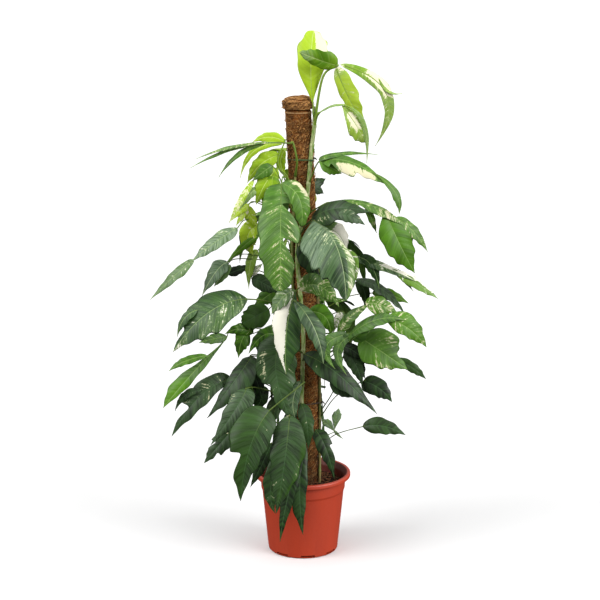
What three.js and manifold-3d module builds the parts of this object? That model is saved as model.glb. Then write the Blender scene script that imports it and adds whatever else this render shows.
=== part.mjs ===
// Variegated Epipremnum pinnatum trained up a coir pole in a round nursery pot
// Millimetres, +Z up, the front looks along -Y
// The origin is the middle of the pot's flat underside
import * as THREE from "three";
import { mergeVertices } from "three/addons/utils/BufferGeometryUtils.js";
import Module from "manifold-3d";

const wasm = await Module();
wasm.setup();

// Driving dimensions of the pot
const POT_HEIGHT = 203;
const RIM_RADIUS = 120;
const BASE_RADIUS = 88;
const WALL = 2.4;
const LIP_HEIGHT = 11;
const COLLAR_HEIGHT = 30;
const COLLAR_RADIUS = 107.5;
const SOIL_LEVEL = 172;
const DRAIN_SLOTS = 8;
const DRAIN_SLOT_SIZE = [35, 30, 5];
const DRAIN_SLOT_TURN = 0.14;
const DRAIN_SLOT_Z = 5.5;
const FLOOR_THICKNESS = 3;
const POT_SIDES = 32;

// Driving dimensions of the pole, the stems and the leaves
const POLE_RADIUS = 31;
const POLE_FOOT = 60;
const POLE_TOP = 1118;
const POLE_MIDDLE_X = 8;
const POLE_LEAN = 22;
const POLE_LEAN_FROM = 400;
const POLE_LEAN_SPAN = 749;
const CAP_RADIUS = 36.5;
const CAP_HEIGHT = 32;
const POLE_SIDES = 16;
const POLE_STEPS = 10;
const THREAD_RADIUS = 0.8;
const THREAD_DROP = 5;
const STEM_SIDES = 7;
const STEM_STEPS = 20;
const PETIOLE_RADIUS = 1.9;
const PETIOLE_SIDES = 4;
const PETIOLE_STEPS = 5;
const LEAF_THICKNESS = 1.6;
const TIE_THICKNESS = 1.6;
const TIE_WIDTH = 2.4;
const TIE_HIGH_Z = 1000;
const TIE_LOW_Z = 388;
const TIE_POINTS = 24;
const GAP = 0.35;
const UP = new THREE.Vector3(0, 0, 1);

const plant = new THREE.Group();

function material(color, roughness) {
  return new THREE.MeshStandardMaterial({ color, roughness, metalness: 0 });
}

function place(name, geometry, color, roughness = 0.6) {
  const mesh = new THREE.Mesh(geometry, material(color, roughness));
  mesh.name = name;
  plant.add(mesh);
  return mesh;
}

function toVector(point) {
  return new THREE.Vector3(...point);
}

// Turns a closed geometry into a solid that can be joined and cut
function toSolid(geometry) {
  const bare = geometry.clone();
  bare.deleteAttribute("normal");
  bare.deleteAttribute("uv");
  const merged = mergeVertices(bare, 1e-3);
  const vertProperties = new Float32Array(merged.attributes.position.array);
  const triVerts = new Uint32Array(merged.index.array);
  return new wasm.Manifold(new wasm.Mesh({ numProp: 3, vertProperties, triVerts }));
}

function toGeometry(solid) {
  const mesh = solid.getMesh();
  const geometry = new THREE.BufferGeometry();
  geometry.setAttribute("position", new THREE.BufferAttribute(mesh.vertProperties, 3));
  geometry.setIndex(new THREE.BufferAttribute(mesh.triVerts, 1));
  geometry.computeVertexNormals();
  return geometry;
}

// A lathe turned up so that its axis is Z; points are [radius, height]
function turned(points, sides) {
  const profile = points.map(([radius, height]) => new THREE.Vector2(radius, height));
  return new THREE.LatheGeometry(profile, sides).rotateX(Math.PI / 2);
}

// A round bar of one radius along a curve
function bar(curve, radius, sides, steps) {
  const section = new THREE.Shape();
  for (let i = 0; i < sides; i += 1) {
    const angle = (2 * Math.PI * i) / sides;
    const x = radius * Math.cos(angle);
    const y = radius * Math.sin(angle);
    if (i === 0) section.moveTo(x, y);
    else section.lineTo(x, y);
  }
  return new THREE.ExtrudeGeometry(section, { steps, extrudePath: curve, bevelEnabled: false });
}

// Pole: upright below, then leaning a little to the left
function poleX(height) {
  const rise = Math.max(0, (height - POLE_LEAN_FROM) / POLE_LEAN_SPAN);
  return POLE_MIDDLE_X - POLE_LEAN * rise * rise;
}

function poleCurve() {
  const heights = [POLE_FOOT, 250, POLE_LEAN_FROM, 600, 800, 960, POLE_TOP];
  return new THREE.CatmullRomCurve3(heights.map((z) => new THREE.Vector3(poleX(z), 0, z)));
}

// Climbing stems: each point is [degrees round the pole from +X, height], at one distance from its axis
const stems = {
  front: {
    radius: 5.3,
    points: [[-115, 150], [-112, 300], [-104, 480], [-100, 560], [-107, 650], [-118, 770], [-95, 850],
      [-72, 910], [-60, 960], [-44, 1023], [-28, 1085], [-24, 1128]],
  },
  right: {
    radius: 4,
    points: [[-20, 150], [-18, 300], [-20, 430], [-26, 560], [-30, 690], [-12, 800]],
  },
  left: {
    radius: 4,
    points: [[-160, 150], [-162, 300], [-160, 500], [-150, 650], [-142, 800], [-125, 900], [-112, 975]],
  },
  back: {
    radius: 4.5,
    points: [[90, 150], [84, 350], [96, 550], [88, 750], [94, 900], [84, 1010]],
  },
};
const CLIMBING_ROOM = 0.7;
const FREE_ROOM = 6;
const FREE_FROM = 1050;
const STEM_SAMPLES = 200;

function stemPoints({ radius, points }) {
  return points.map(([degrees, z]) => {
    const angle = THREE.MathUtils.degToRad(degrees);
    const room = z > FREE_FROM ? FREE_ROOM : CLIMBING_ROOM;
    const reach = POLE_RADIUS + room + radius;
    return new THREE.Vector3(poleX(z) + reach * Math.cos(angle), reach * Math.sin(angle), z);
  });
}

function stemCurve(stem) {
  return new THREE.CatmullRomCurve3(stemPoints(stem));
}

// A bar along a stem, made thicker by some room
function stemBar(stem, room) {
  return bar(stemCurve(stem), stem.radius + room, STEM_SIDES, STEM_STEPS);
}

// The point on a stem's axis at one height
function stemPoint(name, height) {
  const points = stemCurve(stems[name]).getSpacedPoints(STEM_SAMPLES);
  return points.reduce((best, p) => (Math.abs(p.z - height) < Math.abs(best.z - height) ? p : best));
}

// Leaf blade: a thin bent sheet round its rib, a curve through base, middle and tip
// half: widths of its left and right half, seen from its upper face with the tip up
// notch: [side, place along the rib, depth as a part of the half width]
const NOTCH_SPAN = 0.07;
const EDGE_MINIMUM = 0.9;
const LONG_BLADE = 130;
const WIDE_BLADE = 52;
const PETIOLE_END = 0.08;
const KNEE_TENSION = 0.4;
const SWEEP_OUT = 0.1;
const SWEEP_BACK = 0.07;
const FOLD_RISE = 0.22;
const FOLD_DROOP = 0.3;

function halfWidth(u, v, half, notches) {
  const swell = Math.sin(Math.PI * u ** 0.7) ** 0.8;
  const side = v < 0 ? 0 : 1;
  const cut = notches
    .filter((notch) => notch[0] === side)
    .reduce((left, [, at, depth]) => left * (1 - depth * Math.exp(-(((u - at) / NOTCH_SPAN) ** 2))), 1);
  return Math.max(half[side] * swell * cut, EDGE_MINIMUM);
}

function ribCurve(rib) {
  const [base, middle, tip] = rib.map(toVector);
  const bend = middle.clone().multiplyScalar(2).sub(base.clone().add(tip).multiplyScalar(0.5));
  return new THREE.QuadraticBezierCurve3(base, bend, tip);
}

function stepsAlong(length, notches) {
  if (notches.length > 0) return 9;
  return length > LONG_BLADE ? 7 : 5;
}

function blade({ rib, half, face, tipFace = face, notches = [] }) {
  const curve = ribCurve(rib);
  const along = stepsAlong(curve.getLength(), notches);
  const across = half[0] + half[1] > WIDE_BLADE ? 4 : 2;
  const geometry = new THREE.BoxGeometry(1, 1, 1, along, across, 1);
  const corner = geometry.attributes.position;
  for (let i = 0; i < corner.count; i += 1) {
    const u = corner.getX(i) + 0.5;
    const v = 2 * corner.getY(i);
    const reach = halfWidth(u, v, half, notches);
    const sweep = (SWEEP_OUT * Math.sin(Math.PI * u) - SWEEP_BACK * (1 - u) ** 4) * v * v;
    const tangent = curve.getTangent(u);
    const up = toVector(face).lerp(toVector(tipFace), u);
    const side = tangent.clone().cross(up).normalize();
    const normal = side.clone().cross(tangent);
    const fold = reach * (FOLD_RISE * Math.abs(v) - FOLD_DROOP * v * v);
    const lift = fold + LEAF_THICKNESS * corner.getZ(i);
    const inside = u > 0 && u < 1 ? 1 : 0;
    const point = curve.getPoint(u + sweep * inside);
    point.addScaledVector(side, v * reach).addScaledVector(normal, lift);
    corner.setXYZ(i, point.x, point.y, point.z);
  }
  matchDiagonals(geometry);
  return signedVolume(geometry) < 0 ? flipped(geometry) : geometry;
}

// Gives the lower face of a box the diagonals of its upper one,
// so that a twisted sheet never passes through itself
function matchDiagonals(geometry) {
  const { array } = geometry.index;
  const { start, count } = geometry.groups[5];
  for (let i = start; i < start + count; i += 6) {
    const first = array[i];
    const third = array[i + 4];
    array[i + 2] = third;
    array[i + 3] = first;
  }
}

// The signed volume of a closed geometry
function signedVolume(geometry) {
  const { position } = geometry.attributes;
  const { array } = geometry.index;
  const [a, b, c] = [new THREE.Vector3(), new THREE.Vector3(), new THREE.Vector3()];
  let volume = 0;
  for (let i = 0; i < array.length; i += 3) {
    a.fromBufferAttribute(position, array[i]);
    b.fromBufferAttribute(position, array[i + 1]);
    c.fromBufferAttribute(position, array[i + 2]);
    volume += a.dot(b.cross(c)) / 6;
  }
  return volume;
}

function flipped(geometry) {
  const { array } = geometry.index;
  for (let i = 0; i < array.length; i += 3) {
    [array[i], array[i + 1]] = [array[i + 1], array[i]];
  }
  return geometry;
}

// Leaf: a petiole from its stem over a knee to the blade, and one blade or several lobes, in one piece
function leafSolid({ stem, from, knee, blades }) {
  const start = stemPoint(stem, from);
  const foot = toVector(blades[0].rib[0]);
  const inner = ribCurve(blades[0].rib).getPoint(PETIOLE_END);
  const way = [start, toVector(knee), foot, inner];
  const petiole = new THREE.CatmullRomCurve3(way, false, "catmullrom", KNEE_TENSION);
  const parts = blades.map((lobe) => toSolid(blade(lobe)));
  const stalk = toSolid(bar(petiole, PETIOLE_RADIUS, PETIOLE_SIDES, PETIOLE_STEPS));
  return parts.reduce((sum, part) => sum.add(part), stalk).subtract(toSolid(stemBar(stems[stem], GAP)));
}

const lime = 0x9bc01e;
const dark = 0x2f4a2a;
const mid = 0x5e8f3a;
const pale = 0xc9d58a;
const left = 0;
const right = 1;
const toFront = [0, -1, 0.25];

// Every leaf that the photograph shows well, from the top down
const frontLeaves = [
  {
    name: "leaf_crown", color: lime, stem: "front", from: 1114, knee: [25, -24, 1134],
    blades: [{
      rib: [[26, -26, 1150], [16, -38, 1240], [33, -24, 1306]],
      half: [36, 35], face: [0.1, -1, 0.1],
    }],
  },
  {
    name: "leaf_top_fan", color: mid, stem: "front", from: 1090, knee: [44, -34, 1168],
    blades: [
      {
        rib: [[78, -43, 1224], [35, -62, 1244], [-10, -66, 1263]],
        half: [22, 23], face: [0.1, -0.85, 0.5],
      },
      { rib: [[78, -43, 1224], [106, -56, 1152], [150, -40, 1078]], half: [24, 17], face: [-0.2, -1, 0.1] },
      {
        rib: [[78, -43, 1224], [187, -52, 1168], [172, -40, 1035]],
        half: [19, 15], face: [0.1, -0.9, 0.4],
      },
    ],
  },
  {
    name: "leaf_sash", color: mid, stem: "front", from: 1080, knee: [34, -30, 1104],
    blades: [{
      rib: [[40, -42, 1114], [116, -92, 1124], [153, -84, 1006]], half: [8, 38],
      face: [0, -0.5, 0.87], tipFace: [-0.3, -1, 0.1], notches: [[right, 0.28, 0.6]],
    }],
  },
  {
    name: "leaf_wing", color: mid, stem: "front", from: 940, knee: [29, -48, 985],
    blades: [{
      rib: [[38, -54, 1001], [144, -108, 992], [231, -130, 884]], half: [20, 36],
      face: [0.1, -0.75, 0.65], notches: [[left, 0.25, 0.5], [right, 0.34, 0.4]],
    }],
  },
  {
    name: "leaf_left_fingers", color: mid, stem: "front", from: 975, knee: [-14, -62, 1020],
    blades: [
      {
        rib: [[-29, -62, 1048], [-138, -92, 1050], [-266, -96, 990]],
        half: [10, 8], face: [-0.4, 0.1, 0.9],
      },
      {
        rib: [[-29, -62, 1048], [-130, -92, 1030], [-200, -92, 966]],
        half: [9, 9], face: [-0.2, -0.9, 0.4],
      },
    ],
  },
  {
    name: "leaf_left_lime", color: lime, stem: "left", from: 950, knee: [-34, -42, 1005],
    blades: [
      { rib: [[-41, -40, 1033], [-88, -32, 1058], [-122, -30, 1040]], half: [9, 11], face: toFront },
      { rib: [[-41, -40, 1033], [-118, -52, 1022], [-150, -52, 956]], half: [6, 6], face: toFront },
      { rib: [[-41, -40, 1033], [-92, -50, 1008], [-133, -50, 948]], half: [20, 19], face: toFront },
      { rib: [[-41, -40, 1033], [-58, -32, 1002], [-37, -26, 957]], half: [9, 9], face: toFront },
    ],
  },
  {
    name: "leaf_left_bright", color: lime, stem: "left", from: 900, knee: [-38, -40, 960],
    blades: [{
      rib: [[-46, -44, 978], [-80, -66, 950], [-114, -66, 893]],
      half: [30, 28], face: toFront,
    }],
  },
  {
    name: "leaf_right_great", color: mid, stem: "front", from: 862, knee: [33, -62, 888],
    blades: [
      {
        rib: [[50, -68, 902], [177, -116, 905], [299, -100, 793]], half: [15, 26],
        face: [0.1, -0.7, 0.7], notches: [[right, 0.3, 0.5], [right, 0.72, 0.5]],
      },
      {
        rib: [[177, -116, 905], [217, -128, 815], [268, -110, 738]],
        half: [32, 36], face: [0.3, -0.95, 0.2],
      },
    ],
  },
  {
    name: "leaf_right_arch", color: dark, stem: "front", from: 838, knee: [12, -60, 852],
    blades: [{
      rib: [[22, -66, 862], [87, -132, 900], [172, -158, 847]], half: [19, 26],
      face: [0, -0.8, 0.6], notches: [[right, 0.45, 0.5], [right, 0.75, 0.45]],
    }],
  },
  {
    name: "leaf_central", color: dark, stem: "front", from: 815, knee: [6, -80, 846],
    blades: [{
      rib: [[21, -92, 862], [77, -165, 805], [101, -190, 681]],
      half: [33, 66], face: [0.25, -0.9, 0.35],
    }],
  },
  {
    name: "leaf_front_great", color: mid, stem: "left", from: 880, knee: [-36, -62, 925],
    blades: [{
      rib: [[-53, -72, 950], [-58, -132, 831], [-58, -150, 701]], half: [62, 54],
      face: toFront, notches: [[left, 0.24, 0.7], [left, 0.56, 0.75], [right, 0.6, 0.35]],
    }],
  },
  {
    name: "leaf_left_cream", color: lime, stem: "left", from: 800, knee: [-95, -44, 834],
    blades: [{
      rib: [[-109, -50, 837], [-136, -60, 819], [-158, -62, 783]],
      half: [22, 20], face: toFront,
    }],
  },
  {
    name: "leaf_left_long", color: pale, stem: "left", from: 835, knee: [-120, -62, 868],
    blades: [{
      rib: [[-159, -80, 840], [-254, -112, 776], [-366, -110, 672]], half: [20, 22],
      face: [-0.3, -0.8, 0.6], notches: [[left, 0.5, 0.4], [right, 0.5, 0.4]],
    }],
  },
  {
    name: "leaf_left_grey", color: dark, stem: "left", from: 745, knee: [-129, -64, 772],
    blades: [{
      rib: [[-158, -74, 764], [-210, -92, 742], [-249, -94, 679]], half: [20, 25],
      face: [-0.2, -0.8, 0.5], notches: [[right, 0.5, 0.4]],
    }],
  },
  {
    name: "leaf_right_long", color: pale, stem: "right", from: 745, knee: [85, -48, 774],
    blades: [{
      rib: [[121, -60, 771], [220, -96, 740], [322, -98, 678]], half: [20, 19],
      face: [0.2, -0.8, 0.6], notches: [[right, 0.36, 0.4], [right, 0.65, 0.4]],
    }],
  },
  {
    name: "leaf_right_edge", color: dark, stem: "right", from: 700, knee: [95, -46, 725],
    blades: [{
      rib: [[124, -52, 722], [186, -66, 684], [250, -66, 625]],
      half: [24, 22], face: [0.6, -0.15, 0.7],
    }],
  },
  {
    name: "leaf_left_great", color: pale, stem: "left", from: 615, knee: [-86, -74, 660],
    blades: [{
      rib: [[-136, -90, 669], [-229, -126, 630], [-314, -126, 547]], half: [58, 44],
      face: [-0.2, -0.85, 0.5], notches: [[right, 0.72, 0.5]],
    }],
  },
  {
    name: "leaf_left_round", color: dark, stem: "left", from: 600, knee: [-70, -48, 640],
    blades: [{
      rib: [[-86, -56, 637], [-117, -70, 625], [-151, -74, 596]],
      half: [28, 26], face: toFront,
    }],
  },
  {
    name: "leaf_front_small", color: mid, stem: "front", from: 650, knee: [-16, -62, 682],
    blades: [{
      rib: [[-10, -76, 703], [36, -118, 707], [84, -130, 660]],
      half: [21, 23], face: toFront,
    }],
  },
  {
    name: "leaf_white_half", color: pale, stem: "front", from: 635, knee: [-20, -78, 672],
    blades: [
      { rib: [[-15, -92, 693], [-37, -132, 598], [-42, -144, 497]], half: [30, 33], face: toFront },
      { rib: [[-15, -92, 693], [-49, -112, 664], [-80, -112, 619]], half: [20, 20], face: [-0.2, -1, 0.3] },
    ],
  },
  {
    name: "leaf_front_strap", color: dark, stem: "front", from: 622, knee: [14, -102, 645],
    blades: [{
      rib: [[-12, -130, 666], [20, -162, 622], [50, -168, 527]],
      half: [30, 32], face: [0.3, -0.9, 0.4],
    }],
  },
  {
    name: "leaf_right_band", color: mid, stem: "right", from: 552, knee: [58, -56, 576],
    blades: [{
      rib: [[88, -84, 584], [131, -106, 657], [223, -94, 652]], half: [18, 23],
      face: [-0.4, -0.8, 0.4],
    }],
  },
  {
    name: "leaf_right_arc", color: mid, stem: "right", from: 535, knee: [92, -78, 566],
    blades: [{
      rib: [[118, -92, 581], [215, -142, 643], [299, -128, 560]], half: [24, 26],
      face: [0, -0.3, 0.95], tipFace: [0.2, -0.95, 0.2],
    }],
  },
  {
    name: "leaf_right_forked", color: mid, stem: "right", from: 516, knee: [80, -80, 550],
    blades: [
      { rib: [[97, -98, 584], [70, -120, 541], [99, -116, 486]], half: [10, 10], face: [0.2, -1, 0.2] },
      { rib: [[97, -98, 584], [93, -106, 534], [109, -104, 476]], half: [9, 9], face: [0.2, -1, 0.2] },
    ],
  },
  {
    name: "leaf_right_oval", color: mid, stem: "right", from: 500, knee: [104, -58, 550],
    blades: [{
      rib: [[134, -72, 573], [187, -88, 548], [251, -88, 500]], half: [44, 42],
      face: [0.3, -0.9, 0.3], notches: [[left, 0.55, 0.3]],
    }],
  },
  {
    name: "leaf_low_right_round", color: dark, stem: "right", from: 370, knee: [72, -36, 430],
    blades: [{
      rib: [[117, -44, 462], [170, -66, 450], [218, -72, 410]],
      half: [21, 24], face: toFront,
    }],
  },
  {
    name: "leaf_low_right_wide", color: dark, stem: "front", from: 500, knee: [2, -60, 520],
    blades: [{
      rib: [[10, -68, 535], [88, -104, 478], [178, -112, 390]],
      half: [24, 26], face: [0.2, -0.8, 0.5],
    }],
  },
  {
    name: "leaf_far_right", color: dark, stem: "right", from: 262, knee: [78, -52, 314],
    blades: [{
      rib: [[147, -74, 343], [199, -88, 348], [252, -92, 327]],
      half: [21, 21], face: [0.1, -0.9, 0.4],
    }],
  },
  {
    name: "leaf_low_right_droop", color: dark, stem: "right", from: 292, knee: [32, -58, 324],
    blades: [{
      rib: [[30, -72, 334], [56, -98, 295], [77, -96, 216]], half: [21, 21],
      face: [0.2, -1, 0.3], notches: [[left, 0.45, 0.35]],
    }],
  },
  {
    name: "leaf_low_right_pale", color: pale, stem: "right", from: 318, knee: [50, -14, 346],
    blades: [{ rib: [[67, -14, 352], [79, -18, 326], [101, -16, 293]], half: [23, 23], face: toFront }],
  },
  {
    name: "leaf_left_split", color: mid, stem: "left", from: 560, knee: [-150, -62, 600],
    blades: [{
      rib: [[-182, -70, 570], [-244, -98, 515], [-341, -102, 396]], half: [22, 56],
      face: [-0.2, -0.9, 0.4], notches: [[right, 0.34, 0.7], [right, 0.6, 0.75]],
    }],
  },
  {
    name: "leaf_left_star", color: mid, stem: "left", from: 545, knee: [-90, -52, 582],
    blades: [
      { rib: [[-112, -58, 577], [-154, -74, 580], [-190, -78, 568]], half: [16, 14], face: toFront },
      { rib: [[-112, -58, 577], [-146, -72, 556], [-158, -74, 527]], half: [14, 14], face: toFront },
    ],
  },
  {
    name: "leaf_low_front_great", color: dark, stem: "front", from: 520, knee: [-34, -76, 555],
    blades: [{
      rib: [[-50, -88, 576], [-66, -112, 493], [-28, -130, 376]], half: [52, 50],
      face: toFront, notches: [[right, 0.62, 0.4], [left, 0.75, 0.3]],
    }],
  },
  {
    name: "leaf_low_left_dark", color: dark, stem: "left", from: 475, knee: [-100, -46, 512],
    blades: [{
      rib: [[-121, -58, 516], [-162, -90, 466], [-236, -90, 371]],
      half: [20, 20], face: [-0.3, -0.8, 0.5],
    }],
  },
  {
    name: "leaf_low_left_far", color: dark, stem: "left", from: 440, knee: [-128, -46, 468],
    blades: [{
      rib: [[-174, -54, 464], [-245, -84, 436], [-320, -90, 328]], half: [28, 27],
      face: [-0.2, -0.9, 0.4], notches: [[right, 0.74, 0.65]],
    }],
  },
  {
    name: "leaf_low_left_grey", color: dark, stem: "left", from: 400, knee: [-112, -86, 446],
    blades: [{
      rib: [[-136, -112, 446], [-170, -140, 399], [-227, -144, 315]],
      half: [35, 34], face: [-0.2, -0.9, 0.4],
    }],
  },
  {
    name: "leaf_low_left_lobed", color: dark, stem: "left", from: 330, knee: [-142, -78, 356],
    blades: [{
      rib: [[-160, -86, 351], [-199, -106, 306], [-242, -106, 260]], half: [26, 26],
      face: [-0.2, -0.9, 0.4], notches: [[left, 0.5, 0.5], [right, 0.55, 0.5]],
    }],
  },
  {
    name: "leaf_low_left_great", color: dark, stem: "front", from: 440, knee: [-2, -122, 466],
    blades: [{
      rib: [[-81, -150, 406], [-126, -188, 314], [-152, -178, 187]], half: [44, 56],
      face: toFront, notches: [[right, 0.52, 0.65]],
    }],
  },
  {
    name: "leaf_low_front_long", color: dark, stem: "front", from: 340, knee: [-31, -92, 360],
    blades: [{
      rib: [[-17, -138, 374], [-39, -182, 276], [-66, -184, 156]],
      half: [45, 42], face: toFront,
    }],
  },
  {
    name: "leaf_low_front_right", color: dark, stem: "front", from: 370, knee: [-8, -74, 398],
    blades: [{ rib: [[-4, -84, 414], [8, -114, 364], [8, -116, 293]], half: [18, 19], face: toFront }],
  },
  {
    name: "leaf_lowest", color: dark, stem: "front", from: 270, knee: [0, -84, 300],
    blades: [
      { rib: [[2, -92, 310], [-8, -136, 200], [0, -146, 87]], half: [18, 28], face: toFront },
      { rib: [[2, -92, 310], [-36, -140, 190], [-57, -146, 69]], half: [17, 18], face: [-0.2, -1, 0.2] },
    ],
  },
];

for (const leaf of frontLeaves) {
  place(leaf.name, toGeometry(leafSolid(leaf)), leaf.color, 0.45);
}

// Leaves of the hidden rear half, each set by its height, direction and size
const rearLeaves = [
  { height: 330, degrees: 122, length: 190, width: 78, color: dark },
  { height: 420, degrees: 100, length: 200, width: 70, color: dark },
  { height: 510, degrees: 126, length: 220, width: 84, color: dark },
  { height: 580, degrees: 52, length: 220, width: 92, color: mid },
  { height: 660, degrees: 112, length: 240, width: 96, color: mid },
  { height: 740, degrees: 34, length: 200, width: 84, color: mid },
  { height: 810, degrees: 148, length: 210, width: 86, color: mid },
  { height: 880, degrees: 78, length: 210, width: 72, color: lime },
];
const REAR_REACH = 62;
const REAR_KNEE_RISE = 46;

function rearLeaf({ height, degrees, length, width, color }, index) {
  const angle = THREE.MathUtils.degToRad(degrees);
  const start = stemPoint("back", height);
  const out = new THREE.Vector3(Math.cos(angle), Math.sin(angle), 0);
  const along = (far, rise) => start.clone().addScaledVector(out, far).addScaledVector(UP, rise).toArray();
  const face = [0.55 * Math.cos(angle), 0.55 * Math.sin(angle), 0.84];
  const tipFace = [Math.cos(angle), Math.sin(angle), 0.25];
  return {
    name: `leaf_rear_${index + 1}`, color, stem: "back", from: height,
    knee: along(0.45 * REAR_REACH, 0.8 * REAR_KNEE_RISE),
    blades: [{
      rib: [
        along(REAR_REACH, REAR_KNEE_RISE),
        along(REAR_REACH + 0.42 * length, REAR_KNEE_RISE - 0.12 * length),
        along(REAR_REACH + 0.62 * length, REAR_KNEE_RISE - 0.68 * length),
      ],
      half: [width / 2, width / 2], face, tipFace, notches: [[index % 2, 0.45, 0.5]],
    }],
  };
}

for (const leaf of rearLeaves.map(rearLeaf)) {
  place(leaf.name, toGeometry(leafSolid(leaf)), leaf.color, 0.45);
}

// Pot: a tapered wall with a collar, and a lip that turns out and down
function potGeometry() {
  const lipBottom = POT_HEIGHT - LIP_HEIGHT;
  const collarBottom = POT_HEIGHT - LIP_HEIGHT - COLLAR_HEIGHT;
  const taperTop = COLLAR_RADIUS - 4;
  const outside = [
    [0, 0], [BASE_RADIUS - 2.5, 0], [BASE_RADIUS, 3],
    [taperTop, collarBottom - 5], [COLLAR_RADIUS - 1.5, collarBottom],
    [COLLAR_RADIUS, lipBottom - 4], [COLLAR_RADIUS + 6, POT_HEIGHT - 6],
  ];
  const lip = [
    [RIM_RADIUS - 2.8, POT_HEIGHT - 6], [RIM_RADIUS - 2.4, lipBottom + 0.5], [RIM_RADIUS - 0.8, lipBottom],
    [RIM_RADIUS, lipBottom + 2], [RIM_RADIUS, POT_HEIGHT - 2.5], [RIM_RADIUS - 0.9, POT_HEIGHT - 0.6],
    [RIM_RADIUS - 3, POT_HEIGHT], [COLLAR_RADIUS + 4.5, POT_HEIGHT], [COLLAR_RADIUS + 3, POT_HEIGHT - 1.5],
  ];
  const inside = [
    [COLLAR_RADIUS - WALL, lipBottom - 4], [COLLAR_RADIUS - 1.5 - WALL, collarBottom],
    [taperTop - WALL, collarBottom - 5], [BASE_RADIUS - WALL, FLOOR_THICKNESS + 2],
    [BASE_RADIUS - WALL - 2, FLOOR_THICKNESS], [0, FLOOR_THICKNESS],
  ];
  const wall = turned([...outside, ...lip, ...inside], POT_SIDES);
  return Array.from({ length: DRAIN_SLOTS }, (_, i) => drainSlot(i))
    .reduce((pot, slot) => pot.subtract(slot), toSolid(wall));
}

// One drain slot through the foot of the wall; the first faces the front, a little to the right
function drainSlot(index) {
  const angle = DRAIN_SLOT_TURN - Math.PI / 2 + (2 * Math.PI * index) / DRAIN_SLOTS;
  const slot = new THREE.BoxGeometry(...DRAIN_SLOT_SIZE);
  slot.translate(0, 0, DRAIN_SLOT_Z).rotateZ(angle + Math.PI / 2);
  slot.translate(BASE_RADIUS * Math.cos(angle), BASE_RADIUS * Math.sin(angle), 0);
  return toSolid(slot);
}

// Potting soil: fills the pot, with a socket for the pole and one for each stem
function soilSolid() {
  const collarBottom = POT_HEIGHT - LIP_HEIGHT - COLLAR_HEIGHT;
  const room = WALL + GAP;
  const heap = turned([
    [0, FLOOR_THICKNESS + GAP], [BASE_RADIUS - room - 2, FLOOR_THICKNESS + GAP],
    [BASE_RADIUS - room, FLOOR_THICKNESS + 2 + GAP],
    [COLLAR_RADIUS - 4 - room, collarBottom - 5], [COLLAR_RADIUS - 1.5 - room, collarBottom + 1],
    [COLLAR_RADIUS - 1.5 - room, SOIL_LEVEL - 4], [COLLAR_RADIUS - 8, SOIL_LEVEL],
    [60, SOIL_LEVEL + 3], [0, SOIL_LEVEL + 4],
  ], POT_SIDES);
  const sockets = Object.values(stems).map((stem) => stemBar(stem, 2 * GAP));
  const poleSocket = bar(poleCurve(), POLE_RADIUS + 2 * GAP, POLE_SIDES, POLE_STEPS);
  return [...sockets, poleSocket].reduce((soil, socket) => soil.subtract(toSolid(socket)), toSolid(heap));
}

place("pot", toGeometry(potGeometry()), 0x993a28, 0.45);
place("potting_soil", toGeometry(soilSolid()), 0x2b1a12, 0.95);

// Coir pole, its folded top and the thread under it
function capGeometry() {
  const lean = Math.atan((2 * POLE_LEAN * (POLE_TOP - POLE_LEAN_FROM)) / POLE_LEAN_SPAN ** 2);
  const cap = turned([
    [0, 0], [CAP_RADIUS - 3, 0], [CAP_RADIUS, 4], [CAP_RADIUS, CAP_HEIGHT - 9],
    [CAP_RADIUS - 3, CAP_HEIGHT - 4], [0.55 * CAP_RADIUS, CAP_HEIGHT - 1], [0, CAP_HEIGHT],
  ], 24);
  return cap.rotateY(-lean).translate(poleX(POLE_TOP), 0, POLE_TOP + 2 * GAP);
}

place("coir_pole", bar(poleCurve(), POLE_RADIUS, POLE_SIDES, POLE_STEPS), 0x6b3f26, 0.95);
place("coir_cap", capGeometry(), 0x7a4a2c, 0.95);
const thread = new THREE.TorusGeometry(POLE_RADIUS + GAP + THREAD_RADIUS, THREAD_RADIUS, 4, POLE_SIDES);
thread.translate(poleX(POLE_TOP - THREAD_DROP), 0, POLE_TOP - THREAD_DROP);
place("binding_thread", thread, 0xb07f55, 0.8);

for (const [name, stem] of Object.entries(stems)) {
  place(`stem_${name}`, stemBar(stem, 0), 0x8aa03c, 0.5);
}

// Ties: one flat turn each round the pole and the stems beside it
function tieOutline(height, names, room) {
  const rings = names.map((name) => ({ middle: stemPoint(name, height), radius: stems[name].radius }));
  rings.push({ middle: new THREE.Vector3(poleX(height), 0, height), radius: POLE_RADIUS });
  return Array.from({ length: TIE_POINTS }, (_, i) => {
    const angle = (2 * Math.PI * i) / TIE_POINTS;
    const way = new THREE.Vector3(Math.cos(angle), Math.sin(angle), 0);
    const outermost = rings.reduce((best, ring) => (
      ring.middle.dot(way) + ring.radius > best.middle.dot(way) + best.radius ? ring : best
    ));
    const corner = outermost.middle.clone().addScaledVector(way, outermost.radius + room);
    return new THREE.Vector2(corner.x, corner.y);
  });
}

function tieGeometry(height, names) {
  const band = new THREE.Shape(tieOutline(height, names, 2 * GAP + TIE_THICKNESS));
  band.holes.push(new THREE.Path(tieOutline(height, names, 2 * GAP)));
  const turn = new THREE.ExtrudeGeometry(band, { depth: TIE_WIDTH, bevelEnabled: false });
  return turn.translate(0, 0, height - TIE_WIDTH / 2);
}

place("tie_high", tieGeometry(TIE_HIGH_Z, ["front", "back"]), 0x3c5a34, 0.6);
place("tie_low", tieGeometry(TIE_LOW_Z, ["front", "right", "left", "back"]), 0x4a3a2a, 0.6);

export default plant;
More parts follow.
